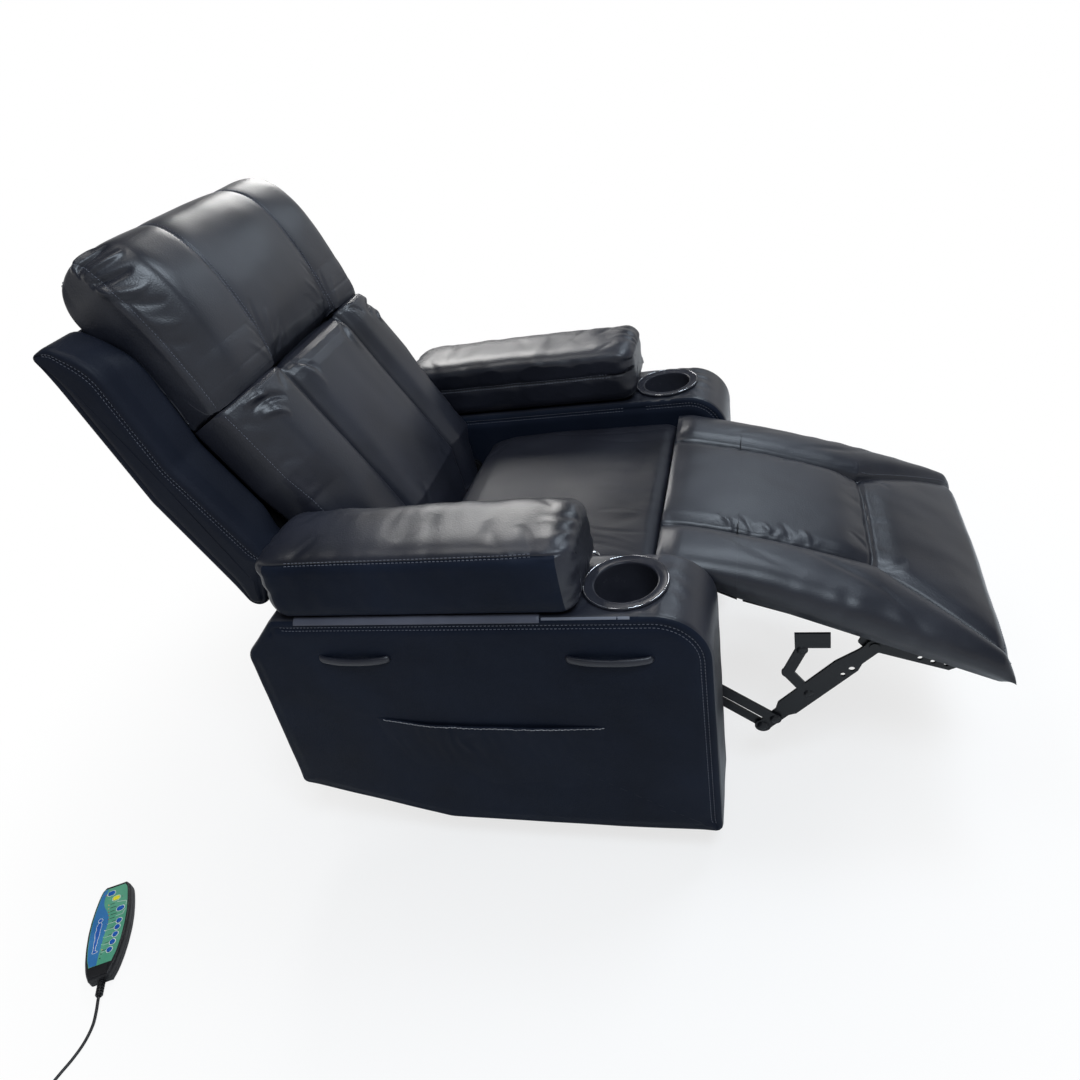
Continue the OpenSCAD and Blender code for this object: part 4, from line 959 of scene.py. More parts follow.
def pocket_patch(side, sign, seed):
    """Patch pocket: cloth that stands off most at its mouth and sinks into the panel at its sides and foot."""
    u = np.linspace(0, 1, 200)
    v = np.linspace(0, 1, 70)
    y = POCKET_Y[0] + u * (POCKET_Y[1] - POCKET_Y[0])
    mouth = POCKET_Z[1] - 2 + 8 * ease((u - 0.75) / 0.25) - 3 * np.sin(u * math.pi)
    z = POCKET_Z[0] + v[None, :] * (mouth[:, None] - POCKET_Z[0])
    spread = np.sin(math.pi * u) ** 0.45
    stand = 7.4 * spread[:, None] * (v[None, :] ** 1.3)
    place = np.stack([0 * z, np.broadcast_to(y[:, None], z.shape), z], -1)
    near_mouth = groove(v[None, :] - 1, 0.3)
    gathers = 0.9 * near_mouth * wavy(y[:, None], 3.8, place, 50, seed, 4)
    gathers = gathers * (0.4 + noise(place, 70, seed + 3))
    drape = 1.4 * noise(place, (40, 46, 60), seed + 1) * v[None, :] ** 0.5
    out = ARM_OUTER + 0.4 + stand + (gathers + drape) * spread[:, None]
    back = np.minimum(out - 1.2, ARM_OUTER + 6.5)
    front = np.stack([out, place[..., 1], z], -1)
    rear = np.stack([back, place[..., 1], z], -1)[:, ::-1]
    hem = front[:, -1:] * 0.5 + rear[:, :1] * 0.5 + np.array([0, 0, 1.2])
    rings = np.concatenate([front, hem, rear], 1)
    rings[..., 0] *= sign
    skin(f"{side}_pocket_patch", rings, LEATHER_SHADED, "chassis", replaces=(f"{side}_pocket",))
    line = front[6:-6, -2].copy()
    line[:, 0] += 0.3
    line[:, 0] *= sign
    line[:, 2] += 0.8 * np.sin(np.arange(len(line)) * 1.3)
    normal = np.tile([float(sign), 0, 0], (len(line), 1))
    stitches(f"{side}_pocket_stitches", [(line, normal)], THREAD_PALE, "chassis", pitch=5.2, length=4.2, radius=0.42)


def side_handles():
    """Two padded straps on each arm: an oval section along a low arch, ends sunk into the panel."""
    parts = []
    for sign in (-1, 1):
        for low, high in ((112, 228), (-291, -170)):
            s = np.linspace(0, 1, 60)
            y = low + (high - low) * s
            x = ARM_OUTER + 0.5 + 10 * np.sin(math.pi * s) ** 0.4
            z = 460 - 1.5 * np.sin(math.pi * s)
            rings = tube_rings(np.stack([sign * x, y, z], 1), 6.4 - 1.2 * np.cos(TAU * s) ** 2 * 0.4, 20, 0.7)
            parts.append(capped(rings))
    points, faces = joined(parts)
    put("side_straps", points, faces, LEATHER, "chassis", True, ("side_loops",))


def edge_strip(name, sign, material, first, last, from_angle, to_angle, outer):
    """Flat folded strip bent over the top outer corner of the arm on an arc round the corner's middle; the same shape
    carries a band of painted highlight further forward.
    """
    y = np.linspace(first, last, 160)
    wave = 0.3 * np.sin(y / 19) + 0.15 * np.sin(y / 7.3)
    turn = np.linspace(math.radians(from_angle), math.radians(to_angle), 14)
    taper = np.clip(np.minimum(y - first, last - y) / 2, 0.5, 1)[:, None]
    angle = np.concatenate([turn, turn[::-1]])[None, :]
    inner = ARM_EDGE + 0.2
    reach = np.repeat([outer, inner], len(turn))[None, :] + wave[:, None] * 0.6
    reach = inner + (reach - inner) * taper
    out, up = ARM_OUTER - ARM_EDGE + reach * np.cos(angle), ARM_TOP - ARM_EDGE + reach * np.sin(angle)
    rings = np.stack([sign * out, np.broadcast_to(y[:, None], out.shape), np.minimum(up, ARM_TOP + 2.2)], -1)
    skin(name, rings, material, "chassis")


for side_name, side_sign, side_seed in (("right", -1, 11), ("left", 1, 57)):
    arm_cover(side_name, side_sign, side_seed)
    arm_pad(side_name, side_sign, side_seed + 7)
    cup_liner(side_name, side_sign)
    pocket_patch(side_name, side_sign, side_seed + 13)
    edge_strip(f"{side_name}_edge_strip", side_sign, LEATHER_STRIP, -140, 253, 22, 89, 13.0)
    # Painted highlight: a pale band over the edge in front of the strip.
    edge_strip(f"{side_name}_edge_highlight", side_sign, EDGE_HIGHLIGHT, -268, -143, 38, 58, 12.0)
side_handles()


# ---- seat ----
SEAT_SIDE = [
    (-280, 478, 10), (-279, 495, 14), (-262, 504, 30), (-200, 505, 40), (60, 505, 60), (100, 497, 24), (117, 466, 20),
    (119, 430, 20), (118, 374.5, 6), (-255, 374.5, 6),
]


def seat_pad():
    """Seat outline carried across, crowned in the middle, with fine cross folds near its front edge."""
    outline = rounded(SEAT_SIDE, 520)
    rings, _, _, _ = block(outline, -SEAT_HALF, SEAT_HALF, 22.0, steps=150, face_steps=10, seam_rows=3)
    x, y, z = np.moveaxis(rings, -1, 0)
    top = ease((z - 470) / 25)
    crown = -17 * top * (np.abs(x) / SEAT_HALF) ** 3
    front = groove(y + 225, 60)
    waves = 2.6 * noise(rings, (120, 140, 200), 71) + 0.8 * noise(rings, (50, 90, 200), 75)
    ripples = front * (0.8 * noise(rings, (26, 70, 90), 72) + 0.45 * wavy(x, 9, rings, 60, 73))
    lines = streaks(
        x, y + 0 * x,
        [(-215, -262, -170, -60, 5, 14, -1.6), (-190, -250, -150, -120, 4, 8, 1.2),
         (-160, -268, -135, -140, 4, -6, -1.3), (-110, -262, -95, -170, 4, 6, -1.0),
         (150, -266, 185, -90, 6, -12, -1.4), (200, -250, 215, -30, 6, -8, -1.6),
         (-225, 60, -120, 105, 7, 8, -2.0), (225, 55, 110, 108, 7, -8, -2.0)],
    )
    body = swell(rings, (waves + ripples + lines) * top)
    body[..., 2] = np.maximum(body[..., 2] + crown, SEAT_FOOT)
    body[..., 0] = np.clip(body[..., 0], -SEAT_HALF, SEAT_HALF)
    piece = skin("seat_pad", body, LEATHER_SEAT, "seat", replaces=("seat_cushion",))


seat_pad()


# ---- back ----
def outer_third(x):
    """0 over the middle panel of the back and 1 over its side panels."""
    return ease((np.abs(x) - 102) / 20)


def back_pad():
    """Three upright panels: crowned front between two deep channels, side panels sloping back to their edges.

    Height over the rear = (top, less a bell at each channel, plus a crown a panel) times the bevel; the edge
    turns down over 9 mm as a quarter circle, and each side stands straight with a slight belly.
    """
    t = np.concatenate([np.linspace(6, 30, 12), np.linspace(34, 394, 148), np.linspace(396, 431.5, 32)])[:, None]
    q = 0.6 * np.sin(np.linspace(-1, 1, 260) * math.pi / 2) + 0.4 * np.linspace(-1, 1, 260)
    w = between([(0, 229), (72, 229), (96, 247), (240, 251), (295, 260.5), (400, 261.5), (432, 261.5)], t)
    x = q[None, :] * w
    outside = outer_third(x)
    top = between([(6, 36), (100, 78), (385, 81), (400, 79.5), (411, 76), (420, 69), (427, 58), (431.5, 40)], t)
    top_outside = between([(6, 36), (100, 78), (390, 81), (422, 79.5), (428, 76), (431.5, 67)], t)
    channel = np.abs(x) - BACK_SEAM
    middle = arch(x, BACK_SEAM, 0.7)
    outer = arch(np.abs(x) - 172, 58, 0.8)
    n = top + (top_outside - top) * outside + 5 * middle + 4 * outer * ease(t / 60)
    n = n - 13 * groove(channel, 17) - 9 * groove(channel, 4.5)
    n = BACK_REAR + (n - BACK_REAR) * bevel(x, w)
    turned = 9
    near_edge = np.clip((np.abs(x) - (w - turned)) / turned, 0, 1)
    n = n - turned * (1 - np.sqrt(1 - near_edge**2))
    front = np.stack([np.broadcast_to(x, n.shape), n, np.broadcast_to(t, n.shape)], -1)
    down = np.linspace(0, 1, 16)[1:-1]
    sides = []
    for sign, column, way in ((1, -1, down), (-1, 0, down[::-1])):
        edge = n[:, [column]]
        level = edge + (BACK_REAR + 2 - edge) * way[None, :]
        belly = 1.2 * np.sin(math.pi * way)[None, :]
        sides.append(np.stack([sign * (w + belly), level, np.broadcast_to(t, level.shape)], -1))
    flat = np.linspace(1, -1, 50)
    rear_x = flat[None, :] * (w - 2)
    rear = np.stack([rear_x, np.full(rear_x.shape, BACK_REAR), np.broadcast_to(t, rear_x.shape)], -1)
    rings = np.concatenate([front, sides[0], rear, sides[1]], 1)
    x, n, t = np.moveaxis(rings, -1, 0)
    on_front = ease((n - 8) / 26)
    waves = 1.5 * noise(rings, (90, 90, 170), 81) + 0.5 * noise(rings, (40, 60, 90), 82)
    crease = groove(t - 431, 26)
    gathers = 0.3 * crease * wavy(x, 9, rings, 60, 83) * (0.5 + noise(rings, 80, 86))
    pulled = 0.0
    for sign in (-1, 1):
        pulled = pulled + streaks(
            sign * x, t,
            [(104, 420, 62, 378, 6, 5, -3.0), (100, 426, 78, 350, 7, 6, 2.2), (128, 426, 166, 396, 5, -5, -2.0),
             (234, 404, 176, 386, 6, 6, -4.2), (230, 388, 196, 362, 5, 4, 3.4), (238, 416, 204, 404, 5, 4, 2.8),
             (226, 90, 190, 150, 8, 8, -1.6), (96, 60, 60, 120, 8, -8, -1.6)],
        )
    side_pull = 0.35 * groove(np.abs(x) - 244, 12) * wavy(t, 6.4, rings, 40, 85)
    body = swell(rings, (waves + gathers + pulled + side_pull) * on_front)
    world = back_place(body)
    piece = skin("back_pad", world, LEATHER, "back", replaces=("back_cushion",))
    rows = np.arange(20, len(world) - 6)
    lines = []
    for sign in (-1, 1):
        columns = np.array([np.argmin(np.abs(front[r, :, 0] - sign * (w[r, 0] - 4.5))) for r in rows], float)
        lines.append(seam_line(world, rows, soften(columns)))
    stitches("back_pad_stitches", lines, THREAD, "back", pitch=5.4, length=3.4, radius=0.45)


HEAD_SIDE = [
    (40, 430.6, 12), (60, 442, 20), (78, 462, 30), (92, 505, 60), (100, 560, 80), (102, 612, 60), (97, 652, 50),
    (84, 684, 40), (58, 708, 36), (20, 716, 36), (-20, 711, 30), (-44, 694, 26), (-57, 664, 20), (-58, 608, 5),
    (-36, 602, 5), (-36, 430.6, 6),
]


def mellow(outline, passes):
    """Closed outline with each point moved to the mean of its neighbours within 8 places, a few times."""
    for _ in range(passes):
        outline = ring_mean(outline, 8)
    return outline


def head_roll():
    """Head roll outline carried across, its front filled out to the cushion below in the outer thirds.

    The depth over the rear is scaled by the bevel, the ends close with flat gussets and are pleated at the
    upper corners, and two long seams run over the top.
    """
    outline = rounded(HEAD_SIDE, 460)
    held = ease((outline[:, 1:] - 440) / 50)
    outline = outline * (1 - held) + mellow(outline, 5) * held
    rings, inset, low_row, high_row = block(
        outline, -HEAD_HALF, HEAD_HALF, 12.0, steps=180, face_steps=14, seam_rows=4, spread=30
    )
    x, n, t = np.moveaxis(rings, -1, 0)
    outside = outer_third(x)
    fill = between([(431, 30), (442, 17), (462, 6), (505, 0)], t) * np.clip((n - BACK_REAR) / 76, 0, 1)
    rings[..., 1] = n + fill * outside
    arc = run_along(outline)[None, :] + 0 * x
    soft = ease((n + 40) / 30) * groove(inset, 60)
    over = (HEAD_HALF - np.abs(x)) - inset
    seam = np.abs(x) - BACK_SEAM
    shoulder = float(arc[0, int(np.argmin(np.hypot(outline[:, 0] - 84, outline[:, 1] - 684)))])
    foot = float(arc[0, int(np.argmin(np.hypot(outline[:, 0] - 50, outline[:, 1] - 437)))])
    way = 1.0 if shoulder > foot else -1.0
    up = (arc - foot) * way
    peak = abs(shoulder - foot)
    panels = 2.2 * arch(x, BACK_SEAM, 0.6) + 1.6 * arch(np.abs(x) - 184, 66, 0.6)
    low_tuck = np.exp(-np.maximum(up, 0) / 55) * (up > -30)
    seams = -drawn_in(seam, (1.5, 1.8), (0.7 + 3.6 * low_tuck, 11))
    gathers = 0.7 * low_tuck * wavy(x, 10, rings, 60, 92) * (0.5 + noise(rings, 90, 97))
    waves = 1.7 * noise(rings, (130, 90, 90), 93) + 0.5 * noise(rings, (50, 60, 40), 94)
    edge_seam = -1.4 * groove(over - 4, 2.2) * (n > -20)
    pulled = 0.0
    for sign, share in ((-1, 1.0), (1, 0.8)):
        pulled = pulled + share * streaks(
            sign * x, up,
            [(112, 4, 94, 110, 4, 6, -2.6), (106, 2, 72, 84, 5, 5, 2.0), (94, 0, 48, 60, 5, 4, -2.0),
             (121, 4, 136, 84, 4, -5, -2.0), (132, 0, 160, 60, 6, -5, 1.4), (62, 0, 52, 50, 5, 3, -1.3)],
        ) + share * streaks(
            over * (sign * x > 0) + 900 * (sign * x <= 0), up,
            [(-20, peak - 2, 34, peak - 34, 5.5, 3, -7.0), (-18, peak + 14, 46, peak - 4, 6, 3, 6.0),
             (-18, peak + 30, 44, peak + 24, 5.5, -2, -7.0), (-12, peak + 46, 40, peak + 48, 7, -2, 4.5),
             (-18, peak - 18, 30, peak - 66, 7, 3, 4.4), (2, peak - 46, 34, peak - 96, 6, 5, -2.0),
             (2, peak - 80, 30, peak - 130, 6, 5, 1.6), (2, peak - 118, 28, peak - 160, 6, 5, -1.2)],
        )
    rings[..., 1] = BACK_REAR + (rings[..., 1] - BACK_REAR) * bevel(x, HEAD_HALF)
    body = swell(rings, (panels + seams + gathers + waves + edge_seam + pulled - 2) * soft)
    narrow = 1 - 0.085 * ease((t - 640) / 90) ** 1.4
    body[..., 0] = np.clip(body[..., 0], -HEAD_HALF - 2, HEAD_HALF + 2) * narrow
    world = back_place(body)
    piece = skin("head_cushion", world, LEATHER_WORN, "back", replaces=("head_roll",))
    columns = run_of((outline[:, 0] > -30) & (outline[:, 1] > 436))
    lines = []
    for seam_x in (-BACK_SEAM, BACK_SEAM):
        straight = np.arange(low_row + 9, high_row - 9)
        row = float(np.interp(seam_x, rings[straight, 0, 0], straight))
        lines += [seam_line(world, row + step, columns) for step in (-1.25, 1.25)]
    lines += [seam_line(world, row, columns) for row in (low_row + 5.0, high_row - 5.0)]
    stitches("head_cushion_stitches", lines, THREAD, "back", pitch=5.4, length=3.4, radius=0.45)


def leg_form(x, s):
    """Height of the leg rest's upper face at x and s, both in millimetres, over the whole flap and leg rest.

    Crowned top, lower at the very ends; each row has a crowned middle panel, two side panels, long seams drawn
    in as two bells, a divider across, and sides that fall as (1 - |q|^8)^0.42. The panels fade out as a quarter
    circle towards the tip.
    """
    w, c = leg_half(s), leg_seam(s)
    held = np.clip(s, FLAP_ROUND, None)
    top = leg_crown(held) * np.where(s < FLAP_ROUND, np.clip((s + FLAP_LENGTH) / 15, 0, 1) ** 0.5, 1)
    top = top * (1 - ease((s - 380) / 30)) - 19 * np.clip((s - 380) / 30, 0, 1) ** 2.2
    low = leg_foot(s)
    q = np.clip(np.abs(x) / w, 0, 1)
    edge = low + (top - low) * 0.5
    full = np.clip(1 - q**8, 0, 1) ** 0.42
    off = np.abs(x) - c
    flare = math.atan((LEG_SEAM_TIP - LEG_SEAM) / (LEG_LENGTH - LEG_DIVIDER))
    slant = np.where(s > LEG_DIVIDER, math.cos(flare), 1.0)
    inside = ease(-off / 8 + 0.5)
    drawn = np.clip((-108 - s) / 34, 0, 1) ** 2
    panel = inside * 8.5 * arch(x, c, 0.42) * (1 - 0.5 * drawn)
    divider = inside * drawn_in(s - LEG_DIVIDER, (5, 5), (9, 34))
    side_panel = (11 - 13 * drawn) * arch(off - (w - c) / 2, (w - c) / 2, 0.6) * (off > 0)
    long_seam = drawn_in(off * slant, (5, 4), (6.5, 18))
    tip = np.sqrt(1 - np.clip((s - 368) / 42, 0, 1) ** 2)
    return edge + (top - edge) * full + (panel + side_panel) * tip - long_seam * full - divider


def leg_foot(s):
    """Height of the underside: the flap thins towards the seat and rises at its very end, the tip lifts."""
    end = -3.5 - 14 * np.clip((s - FLAP_END) / 14.3, 0, 1)
    flap = np.where(s < FLAP_ROUND, end, -17.5 - 15.5 * (s - FLAP_ROUND) / 128)
    return np.where(s < 0, flap, -33.2 + 9 * ease((s - LEG_ROUND) / (LEG_LENGTH - LEG_ROUND)) ** 2)


WING_SIDE = [
    (-41, 217, 18), (-143, 136, 22), (-129, 396, 60), (-76, 649.5, 9), (-45, 647, 34), (-6, 588, 79), (-43, 416, 60),
]


def back_wings():
    """Side wings of the outer shell: the wing outline carried across, edges rounded, a seam by the front edge."""
    outline = rounded(WING_SIDE, 420)
    for side, sign, seed in (("right", -1, 101), ("left", 1, 131)):
        rings, inset, _, high_row = block(
            outline, WING_INNER, WING_OUTER, 12.0, steps=18, face_steps=22, spread=14, spine=((-92, 205), (-60, 585)),
        )
        across, n, t = np.moveaxis(rings, -1, 0)
        fill = ease((n + 90) / 55) * ease((306 - across) / 40) * ease((t - 230) / 60) * ease((610 - t) / 80)
        rings[..., 1] = n + 15 * fill
        on_face = ease((inset - 12) / 16)
        waves = on_face * (2.2 + 1.4 * noise(rings, (60, 90, 140), seed) + 0.4 * noise(rings, (60, 40, 60), seed + 1))
        seam = -drawn_in(inset - SEAM_INSET, (1.6, 1.6), (0.9, 6))
        body = swell(rings, waves + seam)
        body[..., 0] = np.minimum(body[..., 0], WING_OUTER + 3) * sign
        world = back_place(body)
        replaced = ("back_shell",) if side == "right" else ()
        skin(f"{side}_back_wing", world, LEATHER_WING, "back", replaces=replaced)
        front = np.interp(outline[:, 1], [217, 416, 588, 650], [-70, -75, -45, -55])
        columns = run_of((outline[:, 0] > front) & (outline[:, 1] > 225))
        lines = [seam_line(world, high_row + step, columns) for step in (0.1, 2.0)]
        stitches(f"{side}_back_wing_stitches", lines, THREAD, "back", pitch=5.6, length=3.4, radius=0.4)


REAR_SIDE = [
    (-131, -40, 3), (-143, -40, 3), (-134, 217, 60), (-129, 396, 60), (-77, 648, 4), (-66, 646, 4), (-117, 396, 60),
    (-122, 217, 60),
]


def rear_panel():
    """Outer rear skin between the wings, narrower below where it passes between the arms."""
    outline = rounded(REAR_SIDE, 500)
    rings, _, _, _ = block(
        outline, -REAR_HALF, REAR_HALF, 2.5, steps=120, face_steps=3, seam_rows=1, seam_step=0.5, spread=2
    )
    n, t = rings[..., 1], rings[..., 2]
    narrow = 1 - (1 - 247 / REAR_HALF) * ease((225 - t) / 14)
    rear = ease((-np.interp(t, [-40, 217, 396, 648], [125, 117, 111, 60]) - n) / 9)
    waves = rear * (1.8 * noise(rings, (110, 100, 90), 141) + 1.0 * noise(rings, (50, 60, 40), 142))
    body = swell(rings, waves)
    body[..., 0] = np.clip(body[..., 0], -REAR_HALF - 0.1, REAR_HALF + 0.1) * narrow
    skin("rear_panel", back_place(body), LEATHER_SHADED, "back")


back_pad()
head_roll()
back_wings()
rear_panel()


# ---- leg rest ----
def leg_crown(s):
    """Crown over the whole leg rest: (1 - (2p - 1)^2)^0.8 of its height, p from the seat to the tip."""
    p = (s + FLAP_LENGTH) / (FLAP_LENGTH + LEG_LENGTH)
    return LEG_CROWN * np.clip(1 - (2 * p - 1) ** 2, 0, 1) ** 0.8


def leg_half(s):
    """Half width, drawn in as a quarter circle over the last 26 mm before the seat."""
    drawn = np.clip((-117 - s) / 26, 0, 1)
    return between([(-150, 246), (0, 248), (60, 251), (LEG_LENGTH, LEG_TIP_HALF)], s) - 14 * (1 - np.sqrt(1 - drawn**2))


def leg_seam(s):
    """Distance of the long seams from the middle, which flares beyond the divider."""
    return between([(LEG_DIVIDER, LEG_SEAM), (LEG_LENGTH, LEG_SEAM_TIP)], s)


def leg_rings(s, seed):
    """Rings across the leg rest at each s: its upper face, then a flat foot, both leaning back near the cut.

    Near the cut a point at height h moves to s less CUT_LEAN (h - CUT_FOOT) times a raised cosine of s, and
    the height is taken at the place it moves to, so that the upper face runs on unbroken over the cut.
    """
    s = s[:, None]
    q = 0.5 * np.sin(np.linspace(-1, 1, 320) * math.pi / 2) + 0.5 * np.linspace(-1, 1, 320)
    share = CUT_LEAN * np.where(np.abs(s) < CUT_REACH, 0.5 + 0.5 * np.cos(math.pi * s / CUT_REACH), 0)
    place = s + 0 * q[None, :]
    for _ in range(6):
        x = q[None, :] * leg_half(place)
        h = leg_form(x, place)
        place = s - share * (h - CUT_FOOT)
    front = np.stack([x, place, h], -1)
    flat = np.linspace(1, -1, 60)[None, :]
    low = leg_foot(s)
    foot_s = s - share * (low - CUT_FOOT) + 0 * flat
    lift = (h[:, :1] - low) * np.clip((np.abs(flat) - 0.96) / 0.04, 0, 1) ** 2 * 0.8
    foot = np.stack([flat * (leg_half(foot_s) - 1), foot_s, low + lift], -1)
    rings = np.concatenate([front, foot], 1)
    x, s3, h3 = np.moveaxis(rings, -1, 0)
    on_top = ease((h3 - (low + 8)) / 12)
    waves = 1.5 * noise(rings, (100, 110, 100), seed) + 0.5 * noise(rings, (44, 50, 60), seed + 1)
    off3 = np.abs(x) - leg_seam(s3)
    patchy = np.clip(0.5 + 0.8 * noise(rings, (400, 70, 90), seed + 5), 0, 1)
    ripple = 0.9 * groove(off3 + 10, 10) * patchy * groove(s3 - 20, 90)
    ripple = ripple * wavy(s3 - 0.9 * np.abs(off3), 4.6, rings, 34, seed + 3, 2.8)
    hem = ease((np.abs(x) / leg_half(s3) - 0.86) / 0.08) * groove(s3 - 200, 110)
    ripple = ripple + 0.8 * hem * wavy(s3, 8.5, rings, 60, seed + 4, 2.4)
    by_divider = groove(s3 - LEG_DIVIDER, 30) * (off3 < -8)
    ripple = ripple + 0.5 * by_divider * wavy(x, 9.0, rings, 40, seed + 6)
    pulled = 0.0
    for sign, share in ((-1, 1.0), (1, 0.8)):
        table = [(-2, -30 + 31 * k, -34 - 6 * (k % 2), -56 + 33 * k, 5, 3, (-1) ** k * 1.5) for k in range(5)]
        table += [(20, -60, 80, 80, 9, 12, -1.2), (12, 60, 60, 190, 8, 9, -1.1), (30, 110, 90, 270, 9, 10, -1.2),
                  (6, 150, 20, 230, 6, 4, 1.0), (-8, 205, -60, 250, 6, 6, -1.6), (-30, 190, -66, 158, 6, 6, -1.4)]
        pulled = pulled + share * (sign * x > 0) * streaks(off3, s3, table)
    return swell(rings, (waves + ripple + pulled) * on_top), front


def leg_lines(world, front, rows):
    """Stitch lines in the long seams beyond the divider."""
    lines = []
    flat_x = front[..., 0]
    beyond = rows[front[rows, 0, 1] > LEG_DIVIDER + 6]
    for sign in (-1, 1):
        if len(beyond) > 20:
            wanted = sign * (leg_seam(front[beyond, 0, 1]) + 6)
            columns = np.array([np.argmin(np.abs(flat_x[r] - v)) for r, v in zip(beyond, wanted)], float)
            lines += [seam_line(world, beyond, soften(columns))]
    return lines


def cut_at(body):
    """Place down the slope of the leaning cut between flap and main pad, at the height of each point."""
    return -CUT_LEAN * (body[..., 2] - CUT_FOOT)


def leg_rest():
    """Main pad from the cut to the tip."""
    rounding = LEG_ROUND + np.linspace(0, LEG_LENGTH - LEG_ROUND, 26)[1:]
    s = np.concatenate([np.linspace(0, LEG_ROUND, 190), rounding])
    body, front = leg_rings(s, 151)
    cut = cut_at(body)
    body[..., 1] = np.maximum(body[..., 1], cut + 0.03)
    body[0, :, 1] = cut[0] + 0.03
    world = leg_place(body)
    piece = skin("leg_rest_pad", world, LEATHER_WORN, "leg_rest", replaces=("ottoman_pad",))
    lines = leg_lines(world, front, np.arange(2, 200))
    tip = float(np.argmin(np.abs(s - 396)))
    lines.append(seam_line(world, tip, np.arange(18, 302).astype(float)))
    stitches("leg_rest_stitches", lines, THREAD, "leg_rest", pitch=5.4, length=3.4, radius=0.42)


def leg_flap():
    """Rear part from the seat to the cut, shaped as one with the main pad."""
    s = np.concatenate([np.linspace(FLAP_END, FLAP_ROUND, 14), np.linspace(FLAP_ROUND + 1, 0, 74)])
    body, _ = leg_rings(s, 151)
    cut = cut_at(body)
    body[..., 1] = np.maximum(np.minimum(body[..., 1], cut - 0.03), -142.6)
    body[-1, :, 1] = cut[-1] - 0.03
    world = leg_place(body)
    piece = skin("leg_flap_pad", world, LEATHER_WORN, "leg_flap", replaces=("flap_pad",))


leg_rest()
leg_flap()


# ---- rocker springs ----
def rocker_springs(node, y):
    """Two upright springs: a round wire on a helix of five turns, flat at both ends, put on no body."""
    turns, low, high, radius, wire = 5, 45.5, 114.3, 16.0, 3.2
    at = np.linspace(0, 1, 24 * turns + 1)
    rise = low + (high - low) * np.clip((at * turns - 0.6) / (turns - 1.2), 0, 1)
    for side, sign in (("right", -1), ("left", 1)):
        x = sign * 62.0
        route = np.stack([x + radius * np.cos(TAU * turns * at), y + radius * np.sin(TAU * turns * at), rise], 1)
        name = f"{side}_{node.replace('_springs', '_spring')}"
        replaced = (node,) if side == "right" else ()
        piece = skin(name, tube_rings(route, wire, 10), STEEL_BRIGHT, None, replaces=replaced)
        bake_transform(piece)


rocker_springs("front_rocker_springs", -75.0)
rocker_springs("rear_rocker_springs", 75.0)


# ---- rivets of the leg rest linkage ----
def rivet_heads(name, places, layers, body, radius, height):
    """Domed rivet heads along x: a round dome over a thin washer, at each place and on both sides."""
    sides, foot = 20, -0.8
    turn = np.linspace(0, math.pi / 2, 7)[1:]
    profile = [(radius * math.sin(a), height * math.cos(a)) for a in turn] + [(radius + 2, 0.0), (radius + 2, foot)]
    profile = np.array(profile)[:, None]
    angle = np.arange(sides) / sides * TAU
    parts = []
    for (y, z), layer in zip(places, layers):
        for sign in (-1, 1):
            across = np.broadcast_to(sign * (layer + profile[..., 1]), (len(profile), sides))
            around = y + profile[..., 0] * np.cos(angle), z + profile[..., 0] * np.sin(angle)
            ends = [sign * (layer + height), y, z], [sign * (layer + foot), y, z]
            parts.append(capped(np.stack([across, *around], -1), ends))
    points, faces = joined(parts)
    put(name, points, faces, STEEL_BLACK, body)


rivet_heads("rear_link_rivets", [(-446, 158)], [239.9], "rear_link_pair", 7.0, 2.2)
rivet_heads("long_link_rivets", [(-501.5, 215.6), (-492, 312)], [235.2, 235.2], "long_link_pair", 6.0, 2.0)
rivet_heads("guide_link_rivets", [(-425, 136)], [236.2], "guide_link_pair", 7.5, 2.2)
rivet_heads("plate_rivets", [(-290, 282), (-258, 272)], [244.2, 244.2], "seat", 7.0, 2.2)


# ---- handset ----
OUTLINE_HALF = [
    (-94, 17), (-90, 20.5), (-75, 26), (-55, 30.5), (-30, 34), (0, 36), (25, 35.5), (50, 33), (72, 29.5), (86, 26),
    (92, 22), (94, 16),
]
FACE_HALF = [
    (-71, 19.5), (-55, 25), (-30, 28.8), (0, 30.8), (25, 30.4), (50, 28), (72, 24.6), (84, 21.6), (87, 17),
]
OVALS = [(-5.3, 74.5), (6.1, 60), (18, 33.8)]
ROUNDS = [(19.8, 7.6), (18.7, -5.2), (17.5, -19.2), (15.2, -33.5), (12.2, -47.5)]
BORDER = [
    (-70.4, -6.4), (-54, -6), (-39, -5), (-23, -3.9), (-8, -2.8), (8, -0.4), (23, -1.5), (36, -6.5), (49, -14.5),
    (62, -17), (76, -15), (86.2, -12),
]
OVAL_KEY, OVAL_RIM, ROUND_KEY, ROUND_RIM = (6.5, 4.3), (7.6, 5.3), 4.6, 5.6
KEY_FOOT, KEY_TOP = 22.0, HANDSET_TOP + 1.6
FILM = HANDSET_TOP
GREEN_TOP, BLUE_TOP = FILM + 0.12, FILM + 0.2


def symmetric(half, count):
    """Closed outline from (y, half width) points, both sides, evenly spaced and softened."""
    half = np.array(half, float)
    y = np.linspace(half[0, 0], half[-1, 0], 120)
    w = np.interp(y, half[:, 0], half[:, 1])
    w = np.convolve(np.pad(w, 3, mode="edge"), np.ones(7) / 7, mode="valid")
    line = np.vstack([np.column_stack([w, y]), np.column_stack([-w, y])[::-1]])
    return even(line, count)


def capsule(centre, half_x, half_y, count=40):
    """Oval with straight sides: two half circles of radius half_y, half_x to the ends."""
    angle = np.arange(count) / count * TAU
    reach = half_x - half_y
    x = centre[0] + np.where(np.cos(angle) >= 0, reach, -reach) + half_y * np.cos(angle)
    return np.column_stack([x, centre[1] + half_y * np.sin(angle)])


def disc(centre, radius, count=28):
    """Round outline."""
    return capsule(centre, radius, radius, count)


